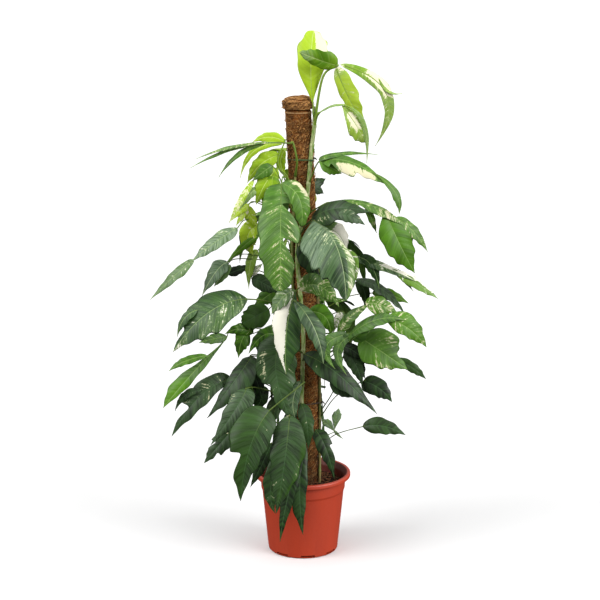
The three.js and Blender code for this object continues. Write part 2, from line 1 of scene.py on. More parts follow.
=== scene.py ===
import math
import bpy
import numpy as np
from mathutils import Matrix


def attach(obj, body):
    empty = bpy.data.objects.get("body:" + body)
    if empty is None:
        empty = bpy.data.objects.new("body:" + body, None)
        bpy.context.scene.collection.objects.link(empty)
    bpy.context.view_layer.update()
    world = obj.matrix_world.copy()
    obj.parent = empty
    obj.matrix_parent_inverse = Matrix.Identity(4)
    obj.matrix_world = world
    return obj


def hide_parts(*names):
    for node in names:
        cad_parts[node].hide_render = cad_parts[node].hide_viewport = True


# Variegated Epipremnum pinnatum on a coir pole in a nursery pot. Looks give their sizes in millimetres times
# mm, which makes metres; shapes are worked out in plain millimetres and turned to metres at the end.
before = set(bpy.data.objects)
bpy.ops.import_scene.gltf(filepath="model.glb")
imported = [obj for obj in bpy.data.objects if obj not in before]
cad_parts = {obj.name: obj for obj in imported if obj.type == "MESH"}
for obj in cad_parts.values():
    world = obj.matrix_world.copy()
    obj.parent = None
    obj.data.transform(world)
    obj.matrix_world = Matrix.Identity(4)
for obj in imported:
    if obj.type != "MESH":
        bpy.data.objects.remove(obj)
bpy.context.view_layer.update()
mm = 0.001
print("frame loaded:", len(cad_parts), "nodes")


# colours and materials

def linear(hexColor):  # sRGB hex to linear RGBA
    parts = [int(hexColor[i:i + 2], 16) / 255 for i in (1, 3, 5)]
    return [c / 12.92 if c <= 0.04045 else ((c + 0.055) / 1.055) ** 2.4 for c in parts] + [1.0]


def addNode(tree, kind, settings=None, links=None):
    # settings go to inputs by name or number, and otherwise to the node itself; links join an output, or the
    # first output in use of a node, to inputs
    node = tree.nodes.new("ShaderNode" + kind)
    for key, value in (settings or {}).items():
        if isinstance(key, int) or key in node.inputs:
            node.inputs[key].default_value = value
        else:
            setattr(node, key, value)
    for key, source in (links or {}).items():
        if isinstance(source, bpy.types.Node):
            source = next(output for output in source.outputs if output.enabled)
        tree.links.new(source, node.inputs[key])
    return node


def newMaterial(name):
    material = bpy.data.materials.new(name)
    material.use_nodes = True
    material.node_tree.nodes.clear()
    return material, material.node_tree


# Living leaf blade, grown, with a waxy skin: a soft satin shine over greens that darken and swell between
# the side veins, and cream where the tissue holds no green, in streaks along the veins, under a grey-green
# painted sheen. The attribute veins holds (way out from the midrib, where its vein starts, seed), marks
# (cream, bright, distance from the midrib) and looks (painted sheen, upper face, petiole); lengths are in
# metres.
leafLook = {
    # each pattern's length along the side veins, its width, its detail and its roughness
    "patterns": {"streak": (30 * mm, 3.4 * mm, 3, 0.6), "blotch": (60 * mm, 13 * mm, 2, 0.5),
                 "fleck": (5 * mm, 5 * mm, 3, 0.65)},
    "creamWeight": 0.6, "paleFrom": 0.3, "paleTo": 0.5, "paleMost": 0.65, "creamFrom": 0.46, "creamTo": 0.6,
    "veinSpacing": 15 * mm, "veinBend": 1.1, "veinEdge": 0.09, "veinTint": 0.14,
    "midribWidth": 1.1 * mm, "midribTint": 0.8, "underTint": 0.6, "smoothest": 0.35, "roughest": 0.52,
    "bump": 1.3 * mm, "bumpStrength": 0.17, "streakRise": 0.6, "ior": 1.42, "specular": 0.36,
}
# the grey-green colour of each kind is painted sheen
leafColors = ("deep", "light", "bright", "grey", "cream", "vein", "under", "petiole")
leafKinds = {  # each kind's colours, in the order above
    # leafLime is lighter than the young tissue's own green: partly a painted glow, for light shining through
    "leafLime": ("#6A960C", "#8CB41A", "#B0D02A", "#A0B464", "#F2EEC6", "#CCE07C", "#C0DA5C", "#82A03C"),
    "leafFresh": ("#52800E", "#76A01E", "#B0CC3C", "#90AC72", "#F2EEC8", "#BCD080", "#9CBC4C", "#82A03C"),
    "leafMid": ("#1E4008", "#467614", "#5E901A", "#6C8A54", "#D8D2AC", "#84A454", "#5F803C", "#68822E"),
    "leafGrey": ("#20381A", "#48663A", "#6A9038", "#6E8468", "#DCDCBC", "#A6B886", "#6A8260", "#5C7038"),
    "leafDark": ("#0E1C08", "#2A461C", "#48741C", "#4C6342", "#D2CEA6", "#42603A", "#45603A", "#55692C"),
    "leafPale": ("#1A3A0E", "#34591C", "#6E982E", "#82987A", "#F4F1E0", "#8CA664", "#6F8C50", "#6C843C"),
}


def leafMaterial(name, colors):
    tint = {part: linear(color) for part, color in zip(leafColors, colors)}
    material, tree = newMaterial(name)
    veins, marks, looks = (addNode(tree, "Attribute", {"attribute_name": key}).outputs["Vector"]
                           for key in ("veins", "marks", "looks"))
    vein, mark, own = (addNode(tree, "SeparateXYZ", links={0: data}).outputs
                       for data in (veins, marks, looks))
    patterns = []
    for length, width, detail, roughness in leafLook["patterns"].values():
        way = addNode(tree, "VectorMath", {"operation": "MULTIPLY", 1: (1 / length, 1 / width, 1)},
                      {0: veins})
        patterns.append(addNode(tree, "TexNoise", {"Scale": 1, "Detail": detail, "Roughness": roughness},
                                {"Vector": way}))
    streak, blotch, fleck = patterns
    # the three patterns together plus the leaf's own amount: pale green where middling, cream where high
    two = addNode(tree, "Math", {"operation": "ADD"}, {0: streak, 1: blotch})
    three = addNode(tree, "Math", {"operation": "ADD"}, {0: two, 1: fleck})
    spread = addNode(tree, "MapRange", {"From Min": 1.0, "From Max": 2.0, "clamp": False}, {"Value": three})
    amount = addNode(tree, "Math", {"operation": "MULTIPLY_ADD", 1: leafLook["creamWeight"]},
                     {0: mark[0], 2: spread})
    pale = addNode(tree, "MapRange", {"interpolation_type": "SMOOTHSTEP", "From Min": leafLook["paleFrom"],
                                      "From Max": leafLook["paleTo"], "To Max": leafLook["paleMost"]},
                   {"Value": amount})
    cream = addNode(tree, "MapRange", {"interpolation_type": "SMOOTHSTEP", "From Min": leafLook["creamFrom"],
                                       "From Max": leafLook["creamTo"]}, {"Value": amount})
    # painted sheen: a grey-green stand-in for light reflected off the wax, laid on most in the middle of the
    # streaks
    sheenPart = addNode(tree, "MapRange", {"From Min": 0.40, "From Max": 0.56, "To Min": 0.25, "To Max": 1.0},
                       {"Value": streak})
    grey = addNode(tree, "Math", {"operation": "MULTIPLY"}, {0: own[0], 1: sheenPart})
    # side veins: a thin line at each multiple of the spacing along the midrib, bent a little by the blotches
    spacing = leafLook["veinSpacing"]
    bent = addNode(tree, "Math", {"operation": "MULTIPLY_ADD", 1: leafLook["veinBend"] * spacing},
                   {0: blotch, 2: vein[1]})
    place = addNode(tree, "Math", {"operation": "DIVIDE", 1: spacing}, {0: bent})
    saw = addNode(tree, "Math", {"operation": "PINGPONG", 1: 0.5}, {0: place})
    line = addNode(tree, "MapRange", {"interpolation_type": "SMOOTHSTEP", "From Min": leafLook["veinEdge"],
                                      "From Max": 0.0}, {"Value": saw})
    sideVein = addNode(tree, "Math", {"operation": "MULTIPLY", 1: leafLook["veinTint"]}, {0: line})
    width = leafLook["midribWidth"]
    midrib = addNode(tree, "MapRange", {"interpolation_type": "SMOOTHSTEP", "From Min": width,
                                        "From Max": 0.3 * width, "To Max": leafLook["midribTint"]},
                     {"Value": mark[2]})
    under = leafLook["underTint"]
    lower = addNode(tree, "Math", {"operation": "MULTIPLY_ADD", 1: -under, 2: under}, {0: own[1]})
    # the greens, and then each colour laid over the last by its own amount; the grey-green one is painted
    # sheen
    depth = addNode(tree, "MapRange", {"From Min": 0.4, "From Max": 0.6}, {"Value": blotch})
    color = addNode(tree, "Mix", {"data_type": "RGBA", 6: tint["deep"], 7: tint["light"]}, {0: depth})
    for part, share in (("bright", mark[1]), ("grey", grey), ("vein", pale), ("vein", sideVein),
                        ("cream", cream), ("vein", midrib), ("under", lower), ("petiole", own[2])):
        color = addNode(tree, "Mix", {"data_type": "RGBA", 7: tint[part]}, {0: share, 6: color})
    roughness = addNode(tree, "MapRange", {"To Min": leafLook["smoothest"], "To Max": leafLook["roughest"]},
                        {"Value": streak})
    # the blade swells between its side veins
    quilt = addNode(tree, "MapRange", {"interpolation_type": "SMOOTHSTEP", "From Max": 0.5}, {"Value": saw})
    height = addNode(tree, "Math", {"operation": "MULTIPLY_ADD", 1: leafLook["streakRise"]},
                     {0: streak, 2: quilt})
    bump = addNode(tree, "Bump", {"Strength": leafLook["bumpStrength"], "Distance": leafLook["bump"]},
                   {"Height": height})
    gloss = {"IOR": leafLook["ior"], "Specular IOR Level": leafLook["specular"]}
    shader = addNode(tree, "BsdfPrincipled", gloss,
                     {"Base Color": color, "Roughness": roughness, "Normal": bump})
    addNode(tree, "OutputMaterial", links={"Surface": shader})
    return material


# Coconut fibre, combed out and matted round the pole: curly pale strands, partly painted highlight, over
# dark hollows of painted shade, dull all over, with more painted shade towards the pole's foot
coirLook = {"dark": "#2E1206", "body": "#924C1E", "pale": "#C88C48", "paleMost": 0.8,
            "strandSpacing": 5.5 * mm, "tuft": 14 * mm, "bump": 1.6 * mm, "bumpStrength": 0.9,
            "roughness": 0.95, "specular": 0.15}
# painted shade on the pole: dark at its foot, and gone from 200 mm above the soil
footShadeLook = {"color": "#1C0D06", "darkestBelow": 150 * mm, "shadeGoneAbove": 370 * mm, "least": 0.2}


def paintFootShade(tree, color):  # mixes the painted shade colour in by height
    where = addNode(tree, "TexCoord")
    place = addNode(tree, "SeparateXYZ", links={0: where.outputs["Object"]})
    unshaded = addNode(tree, "MapRange", {"From Min": footShadeLook["darkestBelow"], "From Max": footShadeLook["shadeGoneAbove"],
                                     "To Min": footShadeLook["least"]}, {"Value": place.outputs[2]})
    return addNode(tree, "Mix", {"data_type": "RGBA", 6: linear(footShadeLook["color"])}, {0: unshaded, 7: color})


def coirMaterial():
    material, tree = newMaterial("mattedCoconutFibre")
    where = addNode(tree, "TexCoord").outputs["Object"]
    # a strand runs wherever the distorted noise passes its middle value
    strand = addNode(tree, "TexNoise", {"Scale": 1 / coirLook["strandSpacing"], "Detail": 5,
                                        "Roughness": 0.65, "Distortion": 2.2}, {"Vector": where})
    ridge = addNode(tree, "Math", {"operation": "SUBTRACT", 1: 0.5}, {0: strand})
    width = addNode(tree, "Math", {"operation": "ABSOLUTE"}, {0: ridge})
    fibre = addNode(tree, "MapRange", {"From Min": 0.07, "From Max": 0.0}, {"Value": width})
    # painted shade: the tufts' noise darkens the hollows between them towards the dark colour
    tuft = addNode(tree, "TexNoise", {"Scale": 1 / coirLook["tuft"], "Detail": 3}, {"Vector": where})
    depth = addNode(tree, "MapRange", {"From Min": 0.42, "From Max": 0.58}, {"Value": tuft})
    dark, body, paleColor = (linear(coirLook[key]) for key in ("dark", "body", "pale"))
    base = addNode(tree, "Mix", {"data_type": "RGBA", 6: dark, 7: body}, {0: depth})
    # the strands' pale colour is partly painted highlight
    pale = addNode(tree, "Math", {"operation": "MULTIPLY", 1: coirLook["paleMost"]}, {0: fibre})
    color = addNode(tree, "Mix", {"data_type": "RGBA", 7: paleColor}, {0: pale, 6: base})
    height = addNode(tree, "Math", {"operation": "ADD"}, {0: fibre, 1: tuft})
    bump = addNode(tree, "Bump", {"Strength": coirLook["bumpStrength"], "Distance": coirLook["bump"]},
                   {"Height": height})
    gloss = {"Roughness": coirLook["roughness"], "Specular IOR Level": coirLook["specular"]}
    shader = addNode(tree, "BsdfPrincipled", gloss, {"Base Color": paintFootShade(tree, color), "Normal": bump})
    addNode(tree, "OutputMaterial", links={"Surface": shader})
    return material


# One thin plant part, strand or wire each, as it grew or was drawn: its colour wanders between two tones
# along its length, which it reads from the attribute veins, so the eye sees blotches and not a flat tint
strandLook = {"toneFrom": 0.38, "toneTo": 0.62, "bump": 0.2 * mm, "bumpStrength": 0.6}


def strandMaterial(name, tones, roughness, length, footShade=False):
    material, tree = newMaterial(name)
    veins = addNode(tree, "Attribute", {"attribute_name": "veins"})
    way = addNode(tree, "VectorMath", {"operation": "MULTIPLY", 1: (1, 1 / length, 1)},
                  {0: veins.outputs["Vector"]})
    patch = addNode(tree, "TexNoise", {"Scale": 1, "Detail": 4, "Roughness": 0.6}, {"Vector": way})
    tone = addNode(tree, "MapRange", {"From Min": strandLook["toneFrom"], "From Max": strandLook["toneTo"]},
                   {"Value": patch})
    color = addNode(tree, "Mix", {"data_type": "RGBA", 6: linear(tones[0]), 7: linear(tones[1])}, {0: tone})
    # painted shade: the strands darken towards the pole's foot
    if footShade:
        color = paintFootShade(tree, color)
    bump = addNode(tree, "Bump", {"Strength": strandLook["bumpStrength"], "Distance": strandLook["bump"]},
                   {"Height": patch})
    shader = addNode(tree, "BsdfPrincipled", {"Roughness": roughness}, {"Base Color": color, "Normal": bump})
    addNode(tree, "OutputMaterial", links={"Surface": shader})
    return material


# Polypropylene, injection-moulded and coloured through: satin, with faint upright flow marks, a little dust,
# and painted shade darkening its inner wall
potLook = {
    "body": "#C4401F", "flow": "#B4371B", "dust": "#CC6A4C", "innerShade": "#4A1C10", "flowWidth": 30 * mm,
    "flowStretch": 0.15, "grain": 1.2 * mm, "dustMost": 0.25, "innerShadeMost": 0.75, "smoothest": 0.4,
    "roughest": 0.56, "bump": 0.15 * mm, "bumpStrength": 0.25, "ior": 1.49, "specular": 0.8,
}


def potMaterial():
    material, tree = newMaterial("mouldedPolypropylene")
    where = addNode(tree, "TexCoord").outputs["Object"]
    flowWay = addNode(tree, "Mapping", {"Scale": (1, 1, potLook["flowStretch"])}, {"Vector": where})
    flow = addNode(tree, "TexNoise", {"Scale": 1 / potLook["flowWidth"], "Detail": 3}, {"Vector": flowWay})
    grain = addNode(tree, "TexNoise", {"Scale": 1 / potLook["grain"], "Detail": 2}, {"Vector": where})
    body, flowColor = linear(potLook["body"]), linear(potLook["flow"])
    base = addNode(tree, "Mix", {"data_type": "RGBA", 6: body, 7: flowColor}, {0: flow})
    dusty = addNode(tree, "MapRange", {"From Min": 0.5, "From Max": 0.8, "To Max": potLook["dustMost"]},
                    {"Value": grain})
    color = addNode(tree, "Mix", {"data_type": "RGBA", 7: linear(potLook["dust"])}, {0: dusty, 6: base})
    # painted shade darkens the inner wall, where the surface looks towards the pot's own axis
    flat = addNode(tree, "VectorMath", {"operation": "MULTIPLY", 1: (1, 1, 0)}, {0: where})
    facing = addNode(tree, "NewGeometry")
    outwards = addNode(tree, "VectorMath", {"operation": "DOT_PRODUCT"},
                       {0: flat, 1: facing.outputs["Normal"]})
    inner = addNode(tree, "MapRange", {"From Min": -0.02, "From Max": -0.08, "To Max": potLook["innerShadeMost"]},
                    {"Value": outwards})
    innerShaded = addNode(tree, "Mix", {"data_type": "RGBA", 7: linear(potLook["innerShade"])}, {0: inner, 6: color})
    rough = addNode(tree, "MapRange", {"To Min": potLook["smoothest"], "To Max": potLook["roughest"]},
                    {"Value": flow})
    bump = addNode(tree, "Bump", {"Strength": potLook["bumpStrength"], "Distance": potLook["bump"]},
                   {"Height": grain})
    gloss = {"IOR": potLook["ior"], "Specular IOR Level": potLook["specular"]}
    shader = addNode(tree, "BsdfPrincipled", gloss,
                     {"Base Color": innerShaded, "Roughness": rough, "Normal": bump})
    addNode(tree, "OutputMaterial", links={"Surface": shader})
    return material


# Moist potting mix of peat and bark, poured in and settled: nearly black in its hollows, brown on its crumbs
soilLook = {"dark": "#180F0A", "body": "#46291A", "crumb": "#80583A", "crumbSize": 5 * mm, "clod": 22 * mm,
            "crumbMost": 0.7, "bump": 2 * mm, "bumpStrength": 0.9, "roughness": 0.92, "specular": 0.25}
# Pine bark, chipped and weathered: the same pattern in lighter, redder browns and finer grains
barkLook = {**soilLook, "dark": "#3A2214", "body": "#76482C", "crumb": "#AE7E54", "crumbSize": 3 * mm,
            "clod": 9 * mm}


def soilMaterial(name, look):
    material, tree = newMaterial(name)
    where = addNode(tree, "TexCoord").outputs["Object"]
    clod = addNode(tree, "TexNoise", {"Scale": 1 / look["clod"], "Detail": 5, "Roughness": 0.65},
                   {"Vector": where})
    crumb = addNode(tree, "TexNoise", {"Scale": 1 / look["crumbSize"], "Detail": 4, "Roughness": 0.7},
                    {"Vector": where})
    depth = addNode(tree, "MapRange", {"From Min": 0.35, "From Max": 0.62}, {"Value": clod})
    dark, body = linear(look["dark"]), linear(look["body"])
    base = addNode(tree, "Mix", {"data_type": "RGBA", 6: dark, 7: body}, {0: depth})
    crumbs = addNode(tree, "MapRange", {"From Min": 0.52, "From Max": 0.72, "To Max": look["crumbMost"]},
                     {"Value": crumb})
    color = addNode(tree, "Mix", {"data_type": "RGBA", 7: linear(look["crumb"])}, {0: crumbs, 6: base})
    bump = addNode(tree, "Bump", {"Strength": look["bumpStrength"], "Distance": look["bump"]},
                   {"Height": crumb})
    gloss = {"Roughness": look["roughness"], "Specular IOR Level": look["specular"]}
    shader = addNode(tree, "BsdfPrincipled", gloss, {"Base Color": color, "Normal": bump})
    addNode(tree, "OutputMaterial", links={"Surface": shader})
    return material


# surfaces

def softNoise(points, size, seed=0):
    # random values on a lattice of cells of this size, blended by 3t^2 - 2t^3
    scaled = np.asarray(points, float) / size + seed * 17.31
    cell = np.floor(scaled)
    t = scaled - cell
    t = t * t * (3 - 2 * t)
    total = np.zeros(scaled.shape[:-1])
    for corner in np.ndindex(2, 2, 2):
        hashed = np.sin((cell + corner) @ np.array([127.1, 311.7, 74.7])) * 43758.5453
        weight = np.prod(np.where(np.array(corner) == 1, t, 1 - t), axis=-1)
        total += weight * (2 * (hashed - np.floor(hashed)) - 1)
    return total


def layeredNoise(points, layers):  # the sum of several noises, each given as (share, cell size, seed)
    return sum(share * softNoise(points, size, seed) for share, size, seed in layers)


def smoothPath(points, count):  # a curve through all the points: cubic blends of each four neighbours
    p = np.asarray(points, float)
    p = np.vstack([2 * p[0] - p[1], p, 2 * p[-1] - p[-2]])
    t = np.linspace(0, len(p) - 3, count)
    i = np.minimum(t.astype(int), len(p) - 4)
    f = (t - i)[:, None]
    a, b, c, d = p[i], p[i + 1], p[i + 2], p[i + 3]
    square, cube = 2 * a - 5 * b + 4 * c - d, 3 * b - a - 3 * c + d
    return 0.5 * (2 * b + (c - a) * f + square * f ** 2 + cube * f ** 3)


def unit(vectors):  # each vector divided by its own length
    return vectors / np.maximum(np.linalg.norm(vectors, axis=-1, keepdims=True), 1e-12)


def circle(count):  # the angles of so many points round a circle
    return np.linspace(0, 2 * np.pi, count, endpoint=False)


def onPole(r, angle, z):  # round the pole's leaning axis, from millimetres to metres
    return np.stack([poleX(z) + r * np.cos(angle), r * np.sin(angle), z], -1) * mm


def ringShell(grid, data=None):
    # quads between neighbouring rings of a grid of points (rows, around, 3), with a flat cap on each end
    rows, around = grid.shape[:2]
    i, j = np.meshgrid(np.arange(rows - 1), np.arange(around), indexing="ij")
    k = (j + 1) % around
    here, onward = i * around, (i + 1) * around
    quads = np.stack([here + j, here + k, onward + k, onward + j], -1).reshape(-1, 4)
    ends = [np.arange(around)[::-1], (rows - 1) * around + np.arange(around)]
    points = grid.reshape(-1, 3)
    centred = points - points.mean(axis=0)
    fans = [np.stack([np.full(around - 2, end[0]), end[1:-1], end[2:]], -1) for end in ends]
    triangles = np.vstack([quads[:, :3], quads[:, [0, 2, 3]], *fans])
    a, b, c = (centred[triangles[:, n]] for n in range(3))
    if np.sum(a * np.cross(b, c)) < 0:  # the signed volume says that the faces point inwards
        quads = quads[:, ::-1]
        ends = [end[::-1] for end in ends]
    return {"points": points, "quads": quads, "ends": ends, "data": data or {}}


def tubeShell(path, radius, sides, seed=0.0, extra=None):
    # a circle of this radius carried along the path, square to it; veins gets (cosine of the angle round the
    # tube, length so far, seed)
    way = unit(np.gradient(path, axis=0))
    least = np.linalg.eigh(way.T @ way)[1][:, 0]  # the direction most square to the whole path
    side = unit(np.cross(way, least))
    up = np.cross(side, way)
    turn = circle(sides)[None, :, None]
    reach = np.broadcast_to(np.asarray(radius, float), (len(path),))[:, None, None]
    grid = path[:, None] + reach * (np.cos(turn) * side[:, None] + np.sin(turn) * up[:, None])
    along = np.concatenate([[0], np.cumsum(np.linalg.norm(np.diff(path, axis=0), axis=1))])
    veins = np.stack(np.broadcast_arrays(np.cos(turn[..., 0]), along[:, None], seed), -1).reshape(-1, 3)
    data = {"veins": veins}
    for key, value in (extra or {}).items():
        data[key] = np.tile(np.asarray(value, float), (len(veins), 1))
    return ringShell(grid, data)


def turnedGrid(profile, sides):  # each (radius, height) of the profile swept round the Z axis, in metres
    r, z = np.array(profile, float).T[:, :, None] * mm
    turn = circle(sides)[None, :]
    return np.stack(np.broadcast_arrays(r * np.cos(turn), r * np.sin(turn), z), -1)


def joined(shells):
    # one list of points and one of faces, each shell's faces counted on from the shells before it
    starts = np.cumsum([0] + [len(shell["points"]) for shell in shells[:-1]])
    faces = []
    for shell, start in zip(shells, starts):
        faces += (shell["quads"] + start).tolist()
        faces += [(end + start).tolist() for end in shell["ends"]]
    return np.vstack([shell["points"] for shell in shells]).tolist(), faces


def newObject(name, points, faces):
    mesh = bpy.data.meshes.new(name)
    mesh.from_pydata(points, [], faces)
    thing = bpy.data.objects.new(name, mesh)
    bpy.context.collection.objects.link(thing)
    return thing


def makePiece(name, shells, material, nodes=()):
    # one smooth mesh of all the shells with their data as attributes, in the place of the named CAD nodes
    piece = newObject(name, *joined(shells))
    for key in shells[0]["data"]:
        values = np.vstack([shell["data"][key] for shell in shells]).astype(np.float32)
        piece.data.attributes.new(key, "FLOAT_VECTOR", "POINT").data.foreach_set("vector", values.ravel())
    piece.data.shade_smooth()
    piece.data.materials.append(material)
    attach(piece, "root")
    if nodes:
        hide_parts(*nodes)
    return piece


# camera, floor and light

cameraSet = {"place": (-0.0077, -3.92, 1.544), "tilt": 77.114, "lens": 97.44, "sensor": 36}
camera = bpy.data.objects.new("camera", bpy.data.cameras.new("camera"))
camera.data.lens = cameraSet["lens"]
camera.data.sensor_width = cameraSet["sensor"]
camera.location = cameraSet["place"]
camera.rotation_euler = (math.radians(cameraSet["tilt"]), 0, 0)
bpy.context.collection.objects.link(camera)
bpy.context.scene.camera = camera
bpy.context.scene.view_settings.view_transform = "Standard"

# Seamless studio paper, rolled flat and uncoated: an even pale grey with no shine
floorSet = {"half": 60.0, "color": "#EAEAEA", "roughness": 0.9}


def addFloor():  # a plain square sheet under the pot, that throws no light back onto the plant
    half = floorSet["half"]
    floor = newObject("floor", [(-half, -half, 0), (half, -half, 0), (half, half, 0), (-half, half, 0)],
                      [(0, 1, 2, 3)])
    material, tree = newMaterial("studioPaper")
    shader = addNode(tree, "BsdfPrincipled", {
        "Base Color": linear(floorSet["color"]), "Roughness": floorSet["roughness"],
        "Specular IOR Level": 0.0})
    addNode(tree, "OutputMaterial", links={"Surface": shader})
    floor.data.materials.append(material)
    floor.visible_diffuse = False
    floor.visible_glossy = False


# each light shines from far off, from this direction: its strength, and how wide it looks in degrees
lights = {
    "left": dict(way=(-1.0, -0.5, 0.7), strength=2.1, width=40),
    "right": dict(way=(1.0, -0.65, 0.5), strength=2.7, width=40),
    "top": dict(way=(-0.15, -0.1, 1.0), strength=0.5, width=60),
}
# the sky's brightness below, up to a little under the horizon, and straight above
worldSet = {"below": 0.06, "above": 0.8, "lowest": -0.35}


def addLight(name, way, strength, width):
    lamp = bpy.data.lights.new(name, "SUN")
    lamp.angle = math.radians(width)
    lamp.energy = strength
    light = bpy.data.objects.new(name, lamp)
    light.rotation_euler = (math.acos(way[2] / np.linalg.norm(way)), 0, math.atan2(way[0], -way[1]))
    bpy.context.collection.objects.link(light)


def addWorld():  # light from all round that grows with height; the camera itself sees plain white
    world = bpy.data.worlds.new("studio")
    world.use_nodes = True
    tree = world.node_tree
    tree.nodes.clear()
    ray = addNode(tree, "LightPath")
    way = addNode(tree, "TexCoord")
    height = addNode(tree, "SeparateXYZ", links={0: way.outputs["Generated"]}).outputs[2]
    level = addNode(tree, "MapRange", {"From Min": worldSet["lowest"], "From Max": 1,
                                       "To Min": worldSet["below"], "To Max": worldSet["above"]},
                    {"Value": height})
    strength = addNode(tree, "Mix", {3: 1.0}, {0: ray.outputs["Is Camera Ray"], 2: level})
    sky = addNode(tree, "Background", {"Color": (1, 1, 1, 1)}, {"Strength": strength})
    addNode(tree, "OutputWorld", links={"Surface": sky})
    bpy.context.scene.world = world


addFloor()
for lightName, lightSet in lights.items():
    addLight(lightName, **lightSet)
addWorld()
print("camera, floor and lights placed")


# pot

potSet = {"height": 203, "rim": 120, "base": 88, "wall": 2.4, "floor": 3, "lip": 11, "collar": 30,
          "collarRadius": 107.5, "taperStep": 4, "middle": 4, "rounding": 2.0, "slots": 8,
          "slotSize": (35, 30, 5), "slotHeight": 5.5, "slotTurn": 0.14, "sharpDegrees": 50, "sides": 144}


def rounded(corners, radius, steps=4):
    # the corner points of a profile, each but the first and last replaced by a small arc (quadratic curve)
    out = [corners[0]]
    for before, corner, after in zip(corners, corners[1:], corners[2:]):
        a, b, c = (np.array(p, float) for p in (before, corner, after))
        cut = min(radius, 0.45 * np.linalg.norm(a - b), 0.45 * np.linalg.norm(c - b))
        start, end = b + unit(a - b) * cut, b + unit(c - b) * cut
        out += [tuple((1 - t) ** 2 * start + 2 * t * (1 - t) * b + t ** 2 * end)
                for t in np.linspace(0, 1, steps)]
    return out + [corners[-1]]


def potProfile():
    # (radius, height) up the outside from the middle of the foot, over the lip and down the inside: each
    # corner lies a millimetre or a few from a driving size
    top, wall, collar, base, floor = (potSet[k] for k in ("height", "wall", "collarRadius", "base", "floor"))
    rim = potSet["rim"]
    taper = collar - potSet["taperStep"]
    lipBottom = top - potSet["lip"]
    collarBottom = lipBottom - potSet["collar"]
    outside = [(potSet["middle"], 0), (base - 2.5, 0), (base, 3), (taper, collarBottom - 5),
               (collar - 1.5, collarBottom), (collar, lipBottom - 4), (collar + 6, top - 6)]
    lip = [(rim - 2.8, top - 6), (rim - 2.4, lipBottom + 0.5), (rim - 0.8, lipBottom), (rim, lipBottom + 2),
           (rim, top - 2.5), (rim - 0.9, top - 0.6), (rim - 3, top), (collar + 4.5, top),
           (collar + 3, top - 1.5)]
    inside = [(collar - wall, lipBottom - 4), (collar - 1.5 - wall, collarBottom),
              (taper - wall, collarBottom - 5), (base - wall, floor + 2), (base - wall - 2, floor),
              (potSet["middle"], floor)]
    return rounded(outside + lip + inside, potSet["rounding"])


def cutSlots(pot):
    # one mesh of boxes cuts the drain slots through the foot of the wall and is then removed; edges that
    # turn by more than sharpDegrees stay sharp, and the rest of the pot smooth
    length, width, height = (size * mm for size in potSet["slotSize"])
    box = np.array(list(np.ndindex(2, 2, 2)), float) - 0.5
    quads = np.array([[0, 1, 3, 2], [4, 6, 7, 5], [0, 4, 5, 1], [2, 3, 7, 6], [0, 2, 6, 4], [1, 5, 7, 3]])
    shells = []
    for i in range(potSet["slots"]):
        angle = potSet["slotTurn"] - math.pi / 2 + 2 * math.pi * i / potSet["slots"]
        out = np.array([math.cos(angle), math.sin(angle), 0])
        along = np.array([math.sin(angle), -math.cos(angle), 0])
        up = np.array([0, 0, 1])
        middle = out * potSet["base"] * mm + up * potSet["slotHeight"] * mm
        points = box[:, :1] * length * along + box[:, 1:2] * width * out + box[:, 2:] * height * up + middle
        shells.append({"points": points, "quads": quads, "ends": []})
    cutter = newObject("slots", *joined(shells))
    cut = pot.modifiers.new("slots", "BOOLEAN")
    cut.object = cutter
    cut.solver = "EXACT"
    bpy.context.view_layer.update()
    done = bpy.data.meshes.new_from_object(pot.evaluated_get(bpy.context.evaluated_depsgraph_get()))
    done.set_sharp_from_angle(angle=math.radians(potSet["sharpDegrees"]))
    pot.modifiers.clear()
    pot.data = done
    bpy.data.objects.remove(cutter)


potPiece = makePiece("nursery_pot", [ringShell(turnedGrid(potProfile(), potSet["sides"]))], potMaterial(),
                     ["pot"])
cutSlots(potPiece)
print("pot made")


# soil

soilSet = {"level": 172, "heap": 8, "reach": 101.4, "calm": 100.5, "crumbRise": 2.2, "lowered": 0.8,
           "rings": 60, "sides": 160, "noise": ((1, 9 * mm, 1), (0.6, 4 * mm, 2), (1.2, 28 * mm, 3)),
           "side": [(101.2, 160), (99, 150), (86, 8), (4, 3.6)], "seed": 4}
chipSet = {"count": 300, "size": 7, "smallest": 0.35, "shape": (1, 0.6, 0.3), "jitter": 0.25, "tip": 0.35,
           "reach": 98, "clear": 0.13, "inwards": 2, "rise": 0.8}
shredSet = {"count": 26, "nearest": 40, "spread": 52, "farthest": 97, "bend": 1.6, "length": (12, 30),
            "points": 9, "lift": 4.5, "arch": 2.0, "radius": 0.45}
randomSoil = np.random.default_rng(soilSet["seed"])


def soilLevel(r):  # the heap: a flat dome over the pot's width
    return soilSet["level"] + soilSet["heap"] * (1 - (r / soilSet["reach"]) ** 2)


def soilShell():
    # rings from the middle out at the soil's level, raised by three sizes of noise, then down inside the pot
    radii = np.linspace(1, soilSet["reach"], soilSet["rings"])
    r, a = np.meshgrid(radii, circle(soilSet["sides"]), indexing="ij")
    top = np.stack([r * np.cos(a), r * np.sin(a), soilLevel(r)], -1) * mm
    rise = layeredNoise(top, soilSet["noise"]) - soilSet["lowered"]
    top[..., 2] += soilSet["crumbRise"] * mm * rise * (r < soilSet["calm"])
    return ringShell(np.concatenate([top, turnedGrid(soilSet["side"], soilSet["sides"])]))


